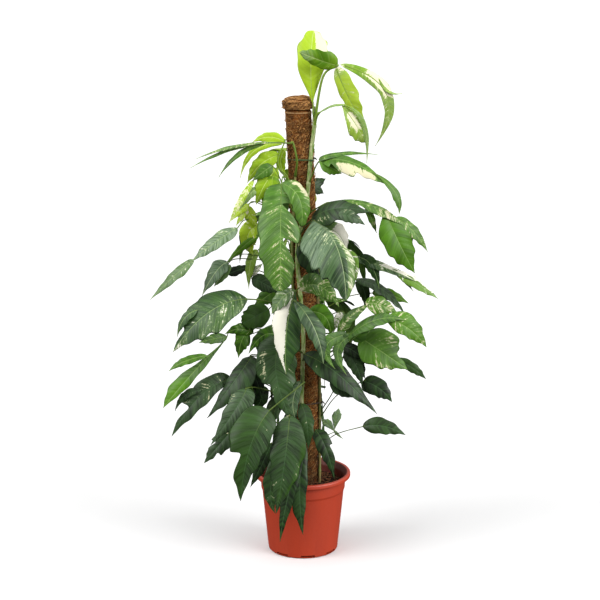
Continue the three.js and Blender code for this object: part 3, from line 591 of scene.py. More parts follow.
def chipShell(count):
    # flat lumps of bark: the twelve corners of an icosahedron, stretched, jittered, turned, laid on the soil
    gold = (1 + 5 ** 0.5) / 2
    corners = np.array([(0, 1, gold), (0, -1, gold), (gold, 0, 1), (-gold, 0, 1), (1, gold, 0),
                        (-1, gold, 0), (1, -gold, 0), (-1, -gold, 0), (gold, 0, -1), (-gold, 0, -1),
                        (0, 1, -gold), (0, -1, -gold)])
    triangles = [(0, 1, 2), (0, 2, 4), (0, 4, 5), (0, 5, 3), (0, 3, 1), (1, 6, 2), (2, 6, 8), (2, 8, 4),
                 (4, 8, 10), (4, 10, 5), (5, 10, 9), (5, 9, 3), (3, 9, 7), (3, 7, 1), (1, 7, 6), (11, 8, 6),
                 (11, 10, 8), (11, 9, 10), (11, 7, 9), (11, 6, 7)]
    size = chipSet["size"] * randomSoil.uniform(chipSet["smallest"], 1.0, (count, 1, 1))
    size = size * np.array(chipSet["shape"])
    jitter = randomSoil.uniform(-chipSet["jitter"], chipSet["jitter"], (count, 12, 3))
    lumps = corners / 2 * (1 + jitter) * size
    turn, tip = randomSoil.uniform(0, 2 * np.pi, (2, count, 1))
    tip = chipSet["tip"] * np.sin(tip)
    x, y, z = lumps[..., 0], lumps[..., 1], lumps[..., 2]
    x, z = x * np.cos(tip) - z * np.sin(tip), x * np.sin(tip) + z * np.cos(tip)
    x, y = x * np.cos(turn) - y * np.sin(turn), x * np.sin(turn) + y * np.cos(turn)
    outwards = np.sqrt(randomSoil.uniform(chipSet["clear"], 1.0, (count, 1)))
    reach = chipSet["reach"] * outwards - chipSet["inwards"]
    angle = randomSoil.uniform(0, 2 * np.pi, (count, 1))
    z = z + soilLevel(reach) + chipSet["rise"]
    points = np.stack([x + reach * np.cos(angle), y + reach * np.sin(angle), z], -1).reshape(-1, 3) * mm
    quads = (np.array(triangles)[None] + 12 * np.arange(count)[:, None, None]).reshape(-1, 3)
    return {"points": points, "quads": quads, "ends": [], "data": {}}


def shredShells(count):  # pale fibres that lie loosely on the soil: bent strands with a slow rise and fall
    shells = []
    t = np.linspace(0, 1, shredSet["points"])
    for i in range(count):
        reach = shredSet["nearest"] + shredSet["spread"] * randomSoil.uniform()
        angle, heading = randomSoil.uniform(0, 2 * np.pi), randomSoil.uniform(0, 2 * np.pi)
        bend = randomSoil.uniform(-shredSet["bend"], shredSet["bend"])
        step = randomSoil.uniform(*shredSet["length"]) / shredSet["points"]
        x = reach * math.cos(angle) + np.cumsum(np.cos(heading + bend * t)) * step
        y = reach * math.sin(angle) + np.cumsum(np.sin(heading + bend * t)) * step
        shrink = np.minimum(1, shredSet["farthest"] / np.hypot(x, y))
        z = soilSet["level"] + shredSet["lift"] + shredSet["arch"] * np.sin(np.pi * t)
        path = np.stack([x * shrink, y * shrink, z], -1) * mm
        shells.append(tubeShell(path, shredSet["radius"] * mm, 4, i))
    return shells


moistMix = soilMaterial("moistPottingMix", soilLook)
pineBark = soilMaterial("chippedPineBark", barkLook)
# Coconut fibre, shredded and dried: dull and straw-coloured, in short paler and browner lengths
dryFibre = strandMaterial("dryCoconutFibre", ("#B79A72", "#8A6A48"), 0.85, 6 * mm)
makePiece("potting_mix", [soilShell()], moistMix, ["potting_soil"])
makePiece("bark_chips", [chipShell(chipSet["count"])], pineBark)
makePiece("soil_fibres", shredShells(shredSet["count"]), dryFibre)
print("soil made")


# coir pole

poleSet = {"radius": 31, "foot": 60, "top": 1118, "middleX": 8, "lean": 22, "leanFrom": 400, "leanSpan": 749,
           "rows": 330, "sides": 72, "noiseRing": 40, "inset": 0.5,
           "noise": ((0.7, 7, 1), (0.5, 3.2, 2), (0.6, 30, 3)), "seed": 9}
capSet = {"radius": 36.5, "height": 29, "rows": 80, "sides": 96, "shoulder": (0.97, 0.85, 0.65, 0.4, 0.1),
          "push": 2.0, "pushNoise": ((1, 9 * mm, 5), (0.7, 4 * mm, 6)), "rise": 1.2,
          "riseNoise": ((1, 8 * mm, 7),)}
# strands wound on the pole and on the cap: how many, from which height to which, round which radius, and how
# far up or down each one runs
fibreSets = {"pole": (2600, 172, 1116, poleSet["radius"] - 0.4, 13),
             "cap": (260, 1122, 1140, capSet["radius"] - 0.8, 5)}
fibreSet = {"steps": 9, "sides": 3, "sweep": 0.55, "wander": 0.19, "waver": 6, "lift": 0.3,
            "strayShare": 0.1, "strayRise": 5.5, "radius": (0.3, 0.8)}
swirlSet = {"count": 170, "points": 14, "reach": (0.12, 0.96), "turn": (0.8, 2.4), "drift": 6, "waver": 1.5,
            "lift": 0.4, "arch": 1.2, "radius": 0.55}
randomCoir = np.random.default_rng(poleSet["seed"])


def poleX(height):  # upright below, then leaning to the left with the square of the height
    rise = np.maximum(0, (np.asarray(height, float) - poleSet["leanFrom"]) / poleSet["leanSpan"])
    return poleSet["middleX"] - poleSet["lean"] * rise ** 2


def poleShell():  # rings round the leaning axis, with a radius that swells and shrinks with noise
    heights = np.linspace(poleSet["foot"], poleSet["top"], poleSet["rows"])
    z, a = np.meshgrid(heights, circle(poleSet["sides"]), indexing="ij")
    ring = np.stack([poleSet["noiseRing"] * np.cos(a), poleSet["noiseRing"] * np.sin(a), z], -1)
    r = poleSet["radius"] - poleSet["inset"] + layeredNoise(ring, poleSet["noise"])
    return ringShell(onPole(r, a, z))


def capPlace(x, y, z):
    # from the cap's own axes, in millimetres, to its place on the leaning pole, in metres
    lean = math.atan(2 * poleSet["lean"] * (poleSet["top"] - poleSet["leanFrom"]) / poleSet["leanSpan"] ** 2)
    across = x * math.cos(lean) - z * math.sin(lean) + poleX(poleSet["top"])
    return np.stack([across, y, x * math.sin(lean) + z * math.cos(lean) + poleSet["top"]], -1) * mm


def capHeightAt(r):  # the cap's domed top: a shallow dish in the middle, then a rounded shoulder
    share = np.asarray(r, float) / capSet["radius"]
    return capSet["height"] * (1 - 0.3 * share ** 6 - 0.05 * np.cos(5 * share))


def capShell():
    # a folded pad of fibre: a bun turned round the pole's axis, its skin pushed about by noise
    c = capSet["radius"]
    shoulder = [(share * c, float(capHeightAt(share * c))) for share in capSet["shoulder"]]
    profile = [(3, 0.7), (c - 5.5, 0.7), (c - 1.5, 5), (c, 0.4 * capSet["height"])] + shoulder
    profile = smoothPath([(r, z, 0) for r, z in profile], capSet["rows"])[:, :2]
    grid = turnedGrid(profile, capSet["sides"])
    push = layeredNoise(grid, capSet["pushNoise"])[..., None] - 0.8
    grid = grid + unit(grid * (1, 1, 0)) * push * capSet["push"] * mm
    rise = capSet["rise"] * mm * (layeredNoise(grid, capSet["riseNoise"]) - 0.5)
    grid[..., 2] += rise * (grid[..., 2] > 6 * mm)
    return ringShell(capPlace(*(grid[..., k] / mm for k in range(3))))


def swirlShells(count):  # loose strands coiled on the cap's top, each part of a turn round its middle
    shells = []
    t = np.linspace(0, 1, swirlSet["points"])
    for i in range(count):
        reach = capSet["radius"] * randomCoir.uniform(*swirlSet["reach"])
        angle = randomCoir.uniform(0, 2 * np.pi) + randomCoir.uniform(*swirlSet["turn"]) * t
        r = reach + randomCoir.normal(0, swirlSet["drift"]) * t + swirlSet["waver"] * np.sin(6 * t + i)
        r = np.clip(r, 3, capSet["radius"] * 0.97)
        arch = abs(randomCoir.normal(0, swirlSet["arch"])) * np.sin(np.pi * t)
        path = capPlace(r * np.cos(angle), r * np.sin(angle), capHeightAt(r) + swirlSet["lift"] + arch)
        shells.append(tubeShell(path, swirlSet["radius"] * mm, 4, i))
    return shells


def fibreShell(count, lowest, highest, radius, spread):
    # strands wound on the pole: each runs a short way round and up, wanders, and lifts off between its ends
    steps, sides = fibreSet["steps"], fibreSet["sides"]
    t = np.linspace(0, 1, steps)[None, :]
    start, z0, phase = (randomCoir.uniform(low, high, (count, 1)) for low, high in
                        ((0, 2 * np.pi), (lowest, highest), (0, 2 * np.pi)))
    sweep = randomCoir.normal(0, fibreSet["sweep"], (count, 1))
    climb = randomCoir.normal(0, spread, (count, 1))
    angle = start + sweep * t + fibreSet["wander"] * np.sin(7 * t + phase)
    z = np.clip(z0 + climb * t + fibreSet["waver"] * np.sin(6 * t + phase), lowest, highest)
    lift = np.abs(randomCoir.normal(0, 1.0, (count, 1))) * np.sin(np.pi * t) + fibreSet["lift"]
    strays = randomCoir.uniform(0, 1, (count, 1)) > 1 - fibreSet["strayShare"]
    stray = strays * fibreSet["strayRise"] * t ** 3
    path = onPole(radius + lift + stray, angle, z)
    way = unit(np.gradient(path, axis=1))
    out = np.stack([np.cos(angle), np.sin(angle), 0 * angle], -1)
    side = unit(np.cross(way, out))
    up = np.cross(side, way)
    turn = circle(sides)[None, None, :, None]
    thick = randomCoir.uniform(*fibreSet["radius"], (count, 1, 1, 1)) * mm
    points = path[:, :, None] + thick * (np.cos(turn) * side[:, :, None] + np.sin(turn) * up[:, :, None])
    n, s, k = np.meshgrid(np.arange(count), np.arange(steps - 1), np.arange(sides), indexing="ij")
    first = (n * steps + s) * sides
    nextSide = (k + 1) % sides
    corners = [first + k, first + nextSide, first + sides + nextSide, first + sides + k]
    quads = np.stack(corners, -1).reshape(-1, 4)
    each = steps * sides
    ends = [np.array([b, b + 2, b + 1]) for b in range(0, count * each, each)]
    ends += [np.array([b, b + 1, b + 2]) for b in range(each - sides, count * each, each)]
    veins = np.stack(np.broadcast_arrays(0.0, z[..., None] * mm, np.arange(count)[:, None, None] * 0.37), -1)
    return {"points": points.reshape(-1, 3), "quads": quads, "ends": ends,
            "data": {"veins": np.repeat(veins, sides, axis=2).reshape(-1, 3)}}


matted = coirMaterial()
# Coconut fibre, combed into loose strands: dull, from dark brown to golden along each one, painted shade
# below
strands = strandMaterial("combedCoconutFibre", ("#4C240C", "#DCA25C"), 0.9, 9 * mm, footShade=True)
makePiece("pole_core", [poleShell()], matted, ["coir_pole"])
makePiece("pole_cap", [capShell()], matted, ["coir_cap"])
makePiece("pole_fibres", [fibreShell(*fibreSets["pole"])], strands)
makePiece("cap_fibres", [fibreShell(*fibreSets["cap"])] + swirlShells(swirlSet["count"]), strands)
print("pole made")


# climbing stems

# Live stem skin, grown and smooth: satin, green or brown in long blotches; points are (degrees, height)
stemTable = {
    "front": dict(radius=5.3, tones=("#6F9A34", "#C2C492"), points=[
        (-115, 150), (-112, 300), (-104, 480), (-100, 560), (-107, 650), (-118, 770), (-95, 850), (-72, 910),
        (-60, 960), (-44, 1023), (-28, 1085), (-24, 1128)]),
    "right": dict(radius=4, tones=("#6F8242", "#8A7448"), points=[
        (-20, 150), (-18, 300), (-20, 430), (-26, 560), (-30, 690), (-12, 800)]),
    "left": dict(radius=4, tones=("#7C9048", "#9A8A55"), points=[
        (-160, 150), (-162, 300), (-160, 500), (-150, 650), (-142, 800), (-125, 900), (-112, 975)]),
    "back": dict(radius=4.5, tones=("#7C9048", "#96845A"), points=[
        (90, 150), (84, 350), (96, 550), (88, 750), (94, 900), (84, 1010)]),
}
stemSet = {"room": 0.7, "freeRoom": 6, "freeFrom": 1020, "freeSpan": 60, "nodeSpacing": 46, "swell": 0.16,
           "scar": 0.07, "slimmer": 0.94, "endTaper": 0.55, "endLength": 40, "points": 420, "sides": 18,
           "roughness": 0.5, "blotch": 24 * mm, "seed": 12}
rootSet = {"turn": (0.3, 0.9), "drop": (-26, 8), "stopBelow": 60, "outer": 33.2, "inner": 31.6,
           "radius": (1.1, 0.4), "points": 12}
randomStem = np.random.default_rng(stemSet["seed"])


def stemPath(name):
    # angle and height run smoothly through the points, at one distance from the axis, more at the top
    stem = stemTable[name]
    degrees, z = smoothPath([(a, h, 0) for a, h in stem["points"]], stemSet["points"])[:, :2].T
    free = np.clip((z - stemSet["freeFrom"]) / stemSet["freeSpan"], 0, 1)
    room = stemSet["room"] + (stemSet["freeRoom"] - stemSet["room"]) * free
    return onPole(poleSet["radius"] + stem["radius"] + room, np.radians(degrees), z)


def stemPoint(name, height):  # the path's place at a height given in millimetres, in millimetres too
    path = stemPath(name)
    return np.array([np.interp(height * mm, path[:, 2], path[:, k]) for k in range(3)]) / mm


def addStem(name):
    # a round stem that thickens at each node, where a leaf scar rings it: two bell curves between the nodes
    path = stemPath(name)
    z = path[:, 2] / mm
    phase = (z / stemSet["nodeSpacing"]) % 1
    swell = stemSet["swell"] * np.exp(-((phase - 0.5) / 0.07) ** 2)
    scar = stemSet["scar"] * np.exp(-((phase - 0.62) / 0.03) ** 2)
    taper = np.interp(z, [z[-1] - stemSet["endLength"], z[-1]], [1, stemSet["endTaper"]])
    radius = stemTable[name]["radius"] * stemSet["slimmer"] * (1 + swell - scar) * taper
    shell = tubeShell(path, radius * mm, stemSet["sides"], len(name))
    tones = stemTable[name]["tones"]
    skin = strandMaterial(name + "StemSkin", tones, stemSet["roughness"], stemSet["blotch"])
    makePiece("live_stem_" + name, [shell], skin, ["stem_" + name])


def aerialRoots():  # thin roots from the nodes that reach round and press onto the fibre
    shells = []
    t = np.linspace(0, 1, rootSet["points"])
    for name, stem in stemTable.items():
        lowest, highest = stem["points"][1][1], stem["points"][-1][1] - rootSet["stopBelow"]
        for height in np.arange(lowest, highest, stemSet["nodeSpacing"]):
            start = stemPoint(name, height)
            x = start[0] - float(poleX(height))
            turn = randomStem.choice([-1, 1]) * randomStem.uniform(*rootSet["turn"])
            z = height + randomStem.uniform(*rootSet["drop"]) * t + 2 * np.sin(6 * t)
            r = np.interp(t, [0, 0.3, 1], [math.hypot(x, start[1]), rootSet["outer"], rootSet["inner"]])
            path = onPole(r, math.atan2(start[1], x) + turn * t, z)
            shells.append(tubeShell(path, np.interp(t, [0, 1], rootSet["radius"]) * mm, 6, height))
    return shells


for stemName in stemTable:
    addStem(stemName)
# Aerial root skin, grown and corky: dull, in short brown blotches
rootSkin = strandMaterial("aerialRootSkin", ("#5A4028", "#8A6A42"), 0.8, 12 * mm)
makePiece("aerial_roots", aerialRoots(), rootSkin)
print("stems made")


# ties and thread

# Drawn wire with a soft plastic coat: half matt, green on the high tie and dark brown on the low one
tieTable = {
    "high": dict(height=1000, stems=["front", "back"], tones=("#3C5A34", "#55703F"), slotName="tie_green"),
    "low": dict(height=388, stems=["front", "right", "left", "back"], tones=("#3E3023", "#5A4732"),
                slotName="tie_brown"),
}
tieSet = {"wire": 0.8, "gap": 0.8, "room": 0.9, "rise": 0.5, "around": 96, "knotPoints": 26,
          "knotRadius": 0.8, "knotTurns": 22, "roughness": 0.55, "blotch": 20 * mm}
# Jute, spun into a thread, three turns and a loose end: dull, in pale and brown flecks
threadSet = {"turns": 3, "pitch": 1.28, "below": 7.5, "room": 1.0, "waver": 0.15, "radius": 0.55,
             "endRadius": 0.4, "points": 220, "tones": ("#A0703E", "#D8AE78"), "roughness": 0.85,
             "blotch": 4 * mm}


def tiePath(height, names):  # the outermost of the pole's and the stems' circles, in each direction
    circles = [(stemPoint(name, height), stemTable[name]["radius"]) for name in names]
    circles.append((np.array([float(poleX(height)), 0, height]), poleSet["radius"]))
    turn = circle(tieSet["around"])
    way = np.stack([np.cos(turn), np.sin(turn)], -1)
    far = np.stack([way @ c[:2] + r for c, r in circles])
    best = np.argmax(far, axis=0)
    centre = np.array([c[:2] for c, _ in circles])[best]
    radius = np.array([r for _, r in circles])[best]
    xy = centre + way * (radius + tieSet["room"] + tieSet["wire"])[:, None]
    return np.column_stack([xy, height + tieSet["rise"] * np.sin(turn * 3)]) * mm


def addTie(which, height, stems, tones, slotName):
    # two strands of wire laid side by side round the bundle, ending in a short twist on the right
    shells = []
    t = np.linspace(0, 1, tieSet["knotPoints"])
    for strand in (-1, 1):
        path = tiePath(height + strand * tieSet["gap"], stems)
        shells.append(tubeShell(np.vstack([path, path[:2]]), tieSet["wire"] * mm, 8, strand))
        knot = path[0] + np.stack([6 * t, -7 * t, 5 * t - 8 * t ** 2], -1) * mm
        turn = tieSet["knotTurns"] * t + strand * np.pi / 2
        coil = tieSet["knotRadius"] * mm * np.stack([0 * t, np.cos(turn), np.sin(turn)], -1)
        shells.append(tubeShell(knot + coil, tieSet["wire"] * mm, 8, strand))
    coat = strandMaterial(which + "PlasticCoatedWire", tones, tieSet["roughness"], tieSet["blotch"])
    makePiece("wire_tie_" + which, shells, coat, ["tie_" + which])


def threadShells():  # turns of coarse thread in a shallow helix, and a loose end
    turn = np.linspace(0, threadSet["turns"] * 2 * np.pi, threadSet["points"])
    z = poleSet["top"] - threadSet["below"] + threadSet["pitch"] * turn / (2 * np.pi)
    r = poleSet["radius"] + threadSet["room"] + threadSet["waver"] * np.sin(9 * turn)
    t = np.linspace(0, 1, 14)
    end = np.stack([-44 + 9 * t - 3 * t ** 2, -10 - 6 * t, 1112 - 26 * t + 10 * t ** 2], -1) * mm
    return [tubeShell(onPole(r, turn, z), threadSet["radius"] * mm, 6, 1),
            tubeShell(end, threadSet["endRadius"] * mm, 5, 2)]


for tieName, tieRow in tieTable.items():
    addTie(tieName, **tieRow)
jute = strandMaterial("spunJute", threadSet["tones"], threadSet["roughness"], threadSet["blotch"])
makePiece("cap_thread", threadShells(), jute, ["binding_thread"])
print("ties made")


# leaves

bladeSet = {
    "steps": 20, "stepLength": 5.5, "notchSteps": 10, "tries": 240,
    "columns": (0, 0.05, 0.14, 0.28, 0.46, 0.64, 0.81, 0.94, 1.0), "thickness": 0.6, "least": 0.7,
    "foldRise": 0.22, "foldDroop": 0.3, "sweepOut": 0.1, "veinSlope": 0.85, "wave": 0.09, "uneven": 0.06,
    "notchBefore": 0.055, "notchAfter": 0.08, "notchDeeper": 1.15, "deepest": 0.9,
}
# along a stalk from the stem to the blade: its radius at these shares of its length; then along each rib
stalkSet = {"at": (0, 0.12, 0.5, 0.85, 1), "radius": (2.6, 1.9, 1.6, 2.0, 1.6), "ribAt": (0, 0.3, 1),
            "ribRadius": (1.5, 1.0), "ribEnd": 0.35, "points": 32, "ribPoints": 20, "sides": 8,
            "fullLength": 200}
toFront = (0, -1, 0.25)
leafMaterials = {kind: leafMaterial(kind + "Skin", colors) for kind, colors in leafKinds.items()}


def lobe(base, middle, tip, widths, face=toFront, tipFace=None, notches=(), tone=(-0.6, 0.1, 0.2),
         patches=(), fullest=(0.37, 0.37), blunt=(0, 0)):
    # widths are of the left and the right half; a notch is (side, place along the rib, depth); tone is
    # (cream, bright, painted sheen); a patch is (first and last u, first and last v) and then its own tone;
    # fullest is the place along the rib where the left and the right half are widest; blunt, from 0 to 1,
    # squares off the base and the tip
    return {"base": np.array(base, float), "middle": np.array(middle, float), "tip": np.array(tip, float),
            "widths": widths, "face": np.array(face, float), "tipFace": np.array(tipFace or face, float),
            "notches": notches, "tone": tone, "patches": patches, "fullest": fullest, "blunt": blunt}


def ribAt(part, u):  # quadratic curve through base, middle at one half, and tip
    bend = 2 * part["middle"] - (part["base"] + part["tip"]) / 2
    u = np.asarray(u, float)[..., None]
    return (1 - u) ** 2 * part["base"] + 2 * u * (1 - u) * bend + u ** 2 * part["tip"]


def ribFrame(part, u):  # the rib's direction, the side direction and the upper face's normal
    way = unit(ribAt(part, u + 0.001) - ribAt(part, u - 0.001))
    u = np.asarray(u, float)[..., None]
    side = unit(np.cross(way, part["face"] + (part["tipFace"] - part["face"]) * u))
    return way, side, np.cross(side, way)


def smoothStep(low, high, x):  # 3t^2 - 2t^3 of the share of the way from low to high
    t = np.clip((x - low) / (high - low), 0, 1)
    return t * t * (3 - 2 * t)


def outline(part, s, right):
    # half the width at a place along the rib: a power of a sine, highest where fullest, drawn out at the tip
    power = math.log(0.5) / math.log(part["fullest"][right])
    s = np.clip(s, 0, 1)
    base, tip = part["blunt"]
    wide = np.sin(np.pi * s ** power) ** (0.8 - 0.5 * (base * (1 - s) + tip * s))
    return part["widths"][right] * wide * (1 - 0.35 * (1 - tip) * smoothStep(0.7, 1.0, s))


def veinEnd(part, u, slope, length, right):
    # how far from the rib a side vein from u meets the outline, when it runs forwards by its slope
    count = bladeSet["tries"]
    tries = np.linspace(0, 1.02 * part["widths"][right], count)
    gap = outline(part, u[:, None] + slope[:, None] * tries / length, right) - tries
    last = np.minimum(np.max(np.where(gap > 0, np.arange(count), 0), axis=1), count - 2)
    rows = np.arange(len(u))
    here, after = gap[rows, last], gap[rows, last + 1]
    onward = np.where(here > after, np.clip(here / np.where(here > after, here - after, 1), 0, 1), 0)
    return tries[last] + (tries[1] - tries[0]) * onward


def notchCut(part, place, right):
    # each notch is a steep cut on its near side and a long one on its far side, after a pointed lobe
    cut = np.ones_like(place)
    for side, at, depth in part["notches"]:
        if (side == "R") == bool(right):
            off = place - at - bladeSet["sweepOut"] * math.sin(math.pi * at)
            span = np.where(off < 0, bladeSet["notchBefore"], bladeSet["notchAfter"])
            deep = min(bladeSet["deepest"], depth * bladeSet["notchDeeper"])
            point = 0.1 * depth * np.exp(-((off + 0.075) / 0.03) ** 2)
            cut *= (1 - deep * np.exp(-(off / span) ** 2)) * (1 + point)
    return cut


def aroundBlade(upper, lower=None):
    # the upper face's columns, then the lower face's on the way back, without the two that both faces share
    lower = upper if lower is None else lower
    return np.concatenate([upper, lower[:, -2:0:-1]], axis=1)


def bladeTone(part, along, across):
    # the lobe's own tone, mixed towards each patch's tone where the patch lies, with soft edges
    tone = np.broadcast_to(np.array(part["tone"], float), along.shape + (3,)).copy()
    for u0, u1, v0, v1, *own in part["patches"]:
        weight = smoothStep(u0 - 0.1, u0 + 0.1, along) * smoothStep(u1 + 0.1, u1 - 0.1, along)
        weight = weight * smoothStep(v0 - 0.15, v0 + 0.15, across) * smoothStep(v1 + 0.15, v1 - 0.15, across)
        tone += weight[..., None] * (np.array(own) - tone)
    return tone


def bladeShell(part, seed):
    # grid of u, where a side vein leaves the rib, and v along it: the vein runs forwards to the outline or a
    # notch, the halves fold up from the rib and droop again to their edges, and the edges wave
    random = np.random.default_rng(seed)
    length = np.linalg.norm(part["middle"] - part["base"]) + np.linalg.norm(part["tip"] - part["middle"])
    steps = bladeSet["steps"] + int(length / bladeSet["stepLength"])
    u = np.linspace(0, 1, steps + bladeSet["notchSteps"] * len(part["notches"]))
    slope = bladeSet["veinSlope"] * smoothStep(-0.05, 0.4, u) * (1 + 0.25 * u)
    half = np.array(bladeSet["columns"])
    way, side, normal = (a[:, None] for a in ribFrame(part, u))
    turns, phase = random.uniform(1.5, 3.2), random.uniform(0, 6.28, 2)
    sheets = []
    for right, v in ((0, -half[::-1]), (1, half[1:])):
        end = np.maximum(veinEnd(part, u, slope, length, right), bladeSet["least"])
        edgeTurns = turns + 1.3 + 0.6 * right
        uneven = 1 + bladeSet["uneven"] * np.sin(2 * np.pi * edgeTurns * u + phase[1 - right])
        reach = np.maximum(end * uneven * notchCut(part, u + slope * end / length, right), bladeSet["least"])
        d = reach[:, None] * v
        r = np.abs(d) / end[:, None]
        forward = slope[:, None] * np.abs(d) * (0.75 + 0.25 * r) / length
        wave = bladeSet["wave"] * r ** 3 * np.sin(2 * np.pi * turns * u[:, None] + phase[right])
        lift = end[:, None] * (bladeSet["foldRise"] * r - bladeSet["foldDroop"] * r ** 2 + wave)
        middle = ribAt(part, u[:, None] + forward) + side * d[..., None] + normal * lift[..., None]
        sheets.append((middle, d, r * np.sign(v), u[:, None] + 0 * d, np.broadcast_to(v, d.shape)))
    middle, d, r, root, v = (np.concatenate(pair, axis=1) for pair in zip(*sheets))
    thick = bladeSet["thickness"] / 2 * (1 - v ** 6)[..., None]
    tone = bladeTone(part, root, r)
    values = {  # three numbers for each point, as the leaf materials read them
        "veins": (d * mm, root * length * mm, np.full(d.shape, seed * 1.7)),
        "marks": (tone[..., 0], tone[..., 1], np.abs(d) * mm),
        "looks": (tone[..., 2], np.ones_like(d), np.zeros_like(d)),
    }
    data = {key: aroundBlade(np.stack(three, -1)) for key, three in values.items()}
    data["looks"][:, d.shape[1]:, 1] = 0  # the lower face
    return ringShell(aroundBlade(middle + normal * thick, middle - normal * thick) * mm,
                     {key: value.reshape(-1, 3) for key, value in data.items()})


def stalkShells(start, knee, parts, seed, thick):
    # one round stalk from the stem to the first rib, thick at both its ends, and a rib under each lobe
    shells = []
    u = np.linspace(0.03, 0.97, stalkSet["ribPoints"])
    for index, part in enumerate(parts):
        rib = ribAt(part, u) - ribFrame(part, u)[2] * 0.5
        share = min(1, 0.5 + 0.5 * np.linalg.norm(part["tip"] - part["base"]) / stalkSet["fullLength"])
        ribRadius = [size * thick for size in stalkSet["ribRadius"]] + [stalkSet["ribEnd"]]
        radius = np.interp(u, stalkSet["ribAt"], ribRadius) * share
        if index == 0:
            stalk = smoothPath([start, knee, part["base"], rib[0]], stalkSet["points"])[:-1]
            stalkRadius = [size * thick for size in stalkSet["radius"]]
            foot = np.interp(np.linspace(0, 1, len(stalk)), stalkSet["at"], stalkRadius)
            radius = np.concatenate([foot, radius])
            rib = np.vstack([stalk, rib])
        shells.append(tubeShell(rib * mm, radius * mm, stalkSet["sides"], seed * 1.7,
                                {"marks": (-1, 0, 1), "looks": (0, 1, 1)}))
    return shells


def addLeaf(name, kind, stem, height, knee, *parts, thick=1.0):
    # stem and height say where the stalk starts, knee where it bends, and thick how stout it is
    seed = sum(ord(letter) * (i + 3) for i, letter in enumerate(name)) % 997
    shells = stalkShells(stemPoint(stem, height), np.array(knee, float), parts, seed, thick)
    shells += [bladeShell(part, seed + i) for i, part in enumerate(parts)]
    nodes = [node for node in ["leaf_" + name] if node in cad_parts]
    makePiece("blade_" + name, shells, leafMaterials[kind], nodes)


# crown and top of the plant
# the crown's bright lime is partly a painted glow, for light shining through the blade
addLeaf("crown", "leafLime", "front", 1100, (23, -28, 1114),
    lobe((24, -26, 1128), (18, -24, 1222), (25, 6, 1306), (34, 42), (0.1, -1, 0.1), tone=(-0.72, 0.9, 0),
         patches=[(0.5, 1, 0.35, 1, 0.8, 0.8, 0)], fullest=(0.66, 0.68), blunt=(0, 0.8)))
addLeaf("top_fan", "leafFresh", "front", 1090, (47, -38, 1200),
    lobe((80, -43, 1226), (37, -62, 1242), (-8, -66, 1260), (18, 26), (0.1, -1, -0.15), tone=(-0.7, 0, 0),
         patches=[(0.65, 1, -1, 1, -0.6, 0, 0.9)], fullest=(0.4, 0.3), blunt=(0.5, 0.6)),
    lobe((78, -43, 1224), (108, -56, 1152), (150, -40, 1078), (26, 17), (-0.2, -1, 0.1),
         tone=(-0.6, 0.9, 0), patches=[(0, 0.12, -1, 1, 0.2, 0.5, 0.5)]),
    lobe((88, -46, 1230), (198, -52, 1159), (173, -40, 1036), (17, 16), (0.1, -0.9, 0.4),
         tone=(-0.5, 0.4, 0.6), patches=[(0.05, 0.2, -1, 1, -0.9, 0, 0), (0.2, 0.5, -1, 0.5, 0.7, 0, 0)]),
    lobe((116, -50, 1118), (126, -52, 1082), (143, -46, 1050), (9, 16), (-0.2, -1, 0.1),
         tone=(-0.7, 0.3, 0)),
    lobe((179, -50, 1198), (202, -54, 1167), (235, -54, 1163), (4, 4), (0.1, -0.8, 0.6),
         tone=(-0.7, 0.2, 0.3)),
    thick=1.7)
addLeaf("sash", "leafFresh", "front", 1080, (32, -32, 1104),
    lobe((37, -42, 1114), (66, -66, 1133), (99, -84, 1139), (5, 5), (0, -0.6, 0.8), tone=(-0.7, 0, 0.9),
         fullest=(0.5, 0.5), blunt=(1, 1)),
    lobe((90, -82, 1138), (123, -90, 1094), (147, -86, 1050), (16, 24), (0, -0.6, 0.8), (-0.3, -1, 0.1),
         tone=(-0.5, 0.5, 0.3), patches=[(0.2, 0.6, -0.6, 0.4, 0.5, 0, 0.4)], fullest=(0.45, 0.62),
         blunt=(0, 0.7)),
    lobe((92, -83, 1139), (141, -92, 1098), (151, -84, 1001), (6, 7), (0, -0.6, 0.8), (-0.3, -1, 0.1),
         tone=(-0.6, 0.2, 0.8), fullest=(0.5, 0.6)),
    thick=1.7)
addLeaf("wing", "leafMid", "front", 940, (29, -48, 985),
    lobe((38, -54, 1000), (115, -100, 1004), (194, -124, 956), (14, 36), (0.1, -0.75, 0.65), None,
         [("R", 0.2, 0.45), ("R", 0.62, 0.25)], (-0.6, 0.4, 0.2), [(0.26, 0.86, 0.22, 1, 0.5, 0.2, 0)],
         fullest=(0.45, 0.5)),
    lobe((162, -118, 984), (216, -128, 938), (227, -128, 886), (10, 12), (0.2, -0.75, 0.6),
         tone=(-0.6, 0.5, 0.3), fullest=(0.5, 0.6)),
    lobe((37, -60, 1006), (99, -74, 1022), (177, -74, 1019), (9, 9), (0, -0.6, 0.8), tone=(-0.6, 0.2, 0.3),
         fullest=(0.2, 0.2)),
    lobe((38, -60, 1002), (64, -74, 989), (91, -78, 974), (16, 17), (0, -0.9, 0.4), tone=(-0.7, 0.7, 0),
         fullest=(0.5, 0.5)))
addLeaf("left_fingers", "leafMid", "left", 962, (-15, -60, 1002),
    lobe((-24, -62, 1044), (-138, -92, 1046), (-254, -96, 1012), (6, 6), (-0.2, -0.6, 0.8),
         tone=(-0.2, 0, 1), fullest=(0.6, 0.7)),
    lobe((-98, -80, 1043), (-180, -94, 1031), (-268, -96, 990), (5, 5), (-0.2, -0.7, 0.7),
         tone=(-0.4, 0.3, 0.3), fullest=(0.55, 0.55)),
    lobe((-90, -80, 1046), (-152, -92, 1022), (-201, -92, 967), (6, 8), (-0.2, -0.9, 0.4),
         tone=(-0.65, 0.2, 0.3)),
    thick=1.5)
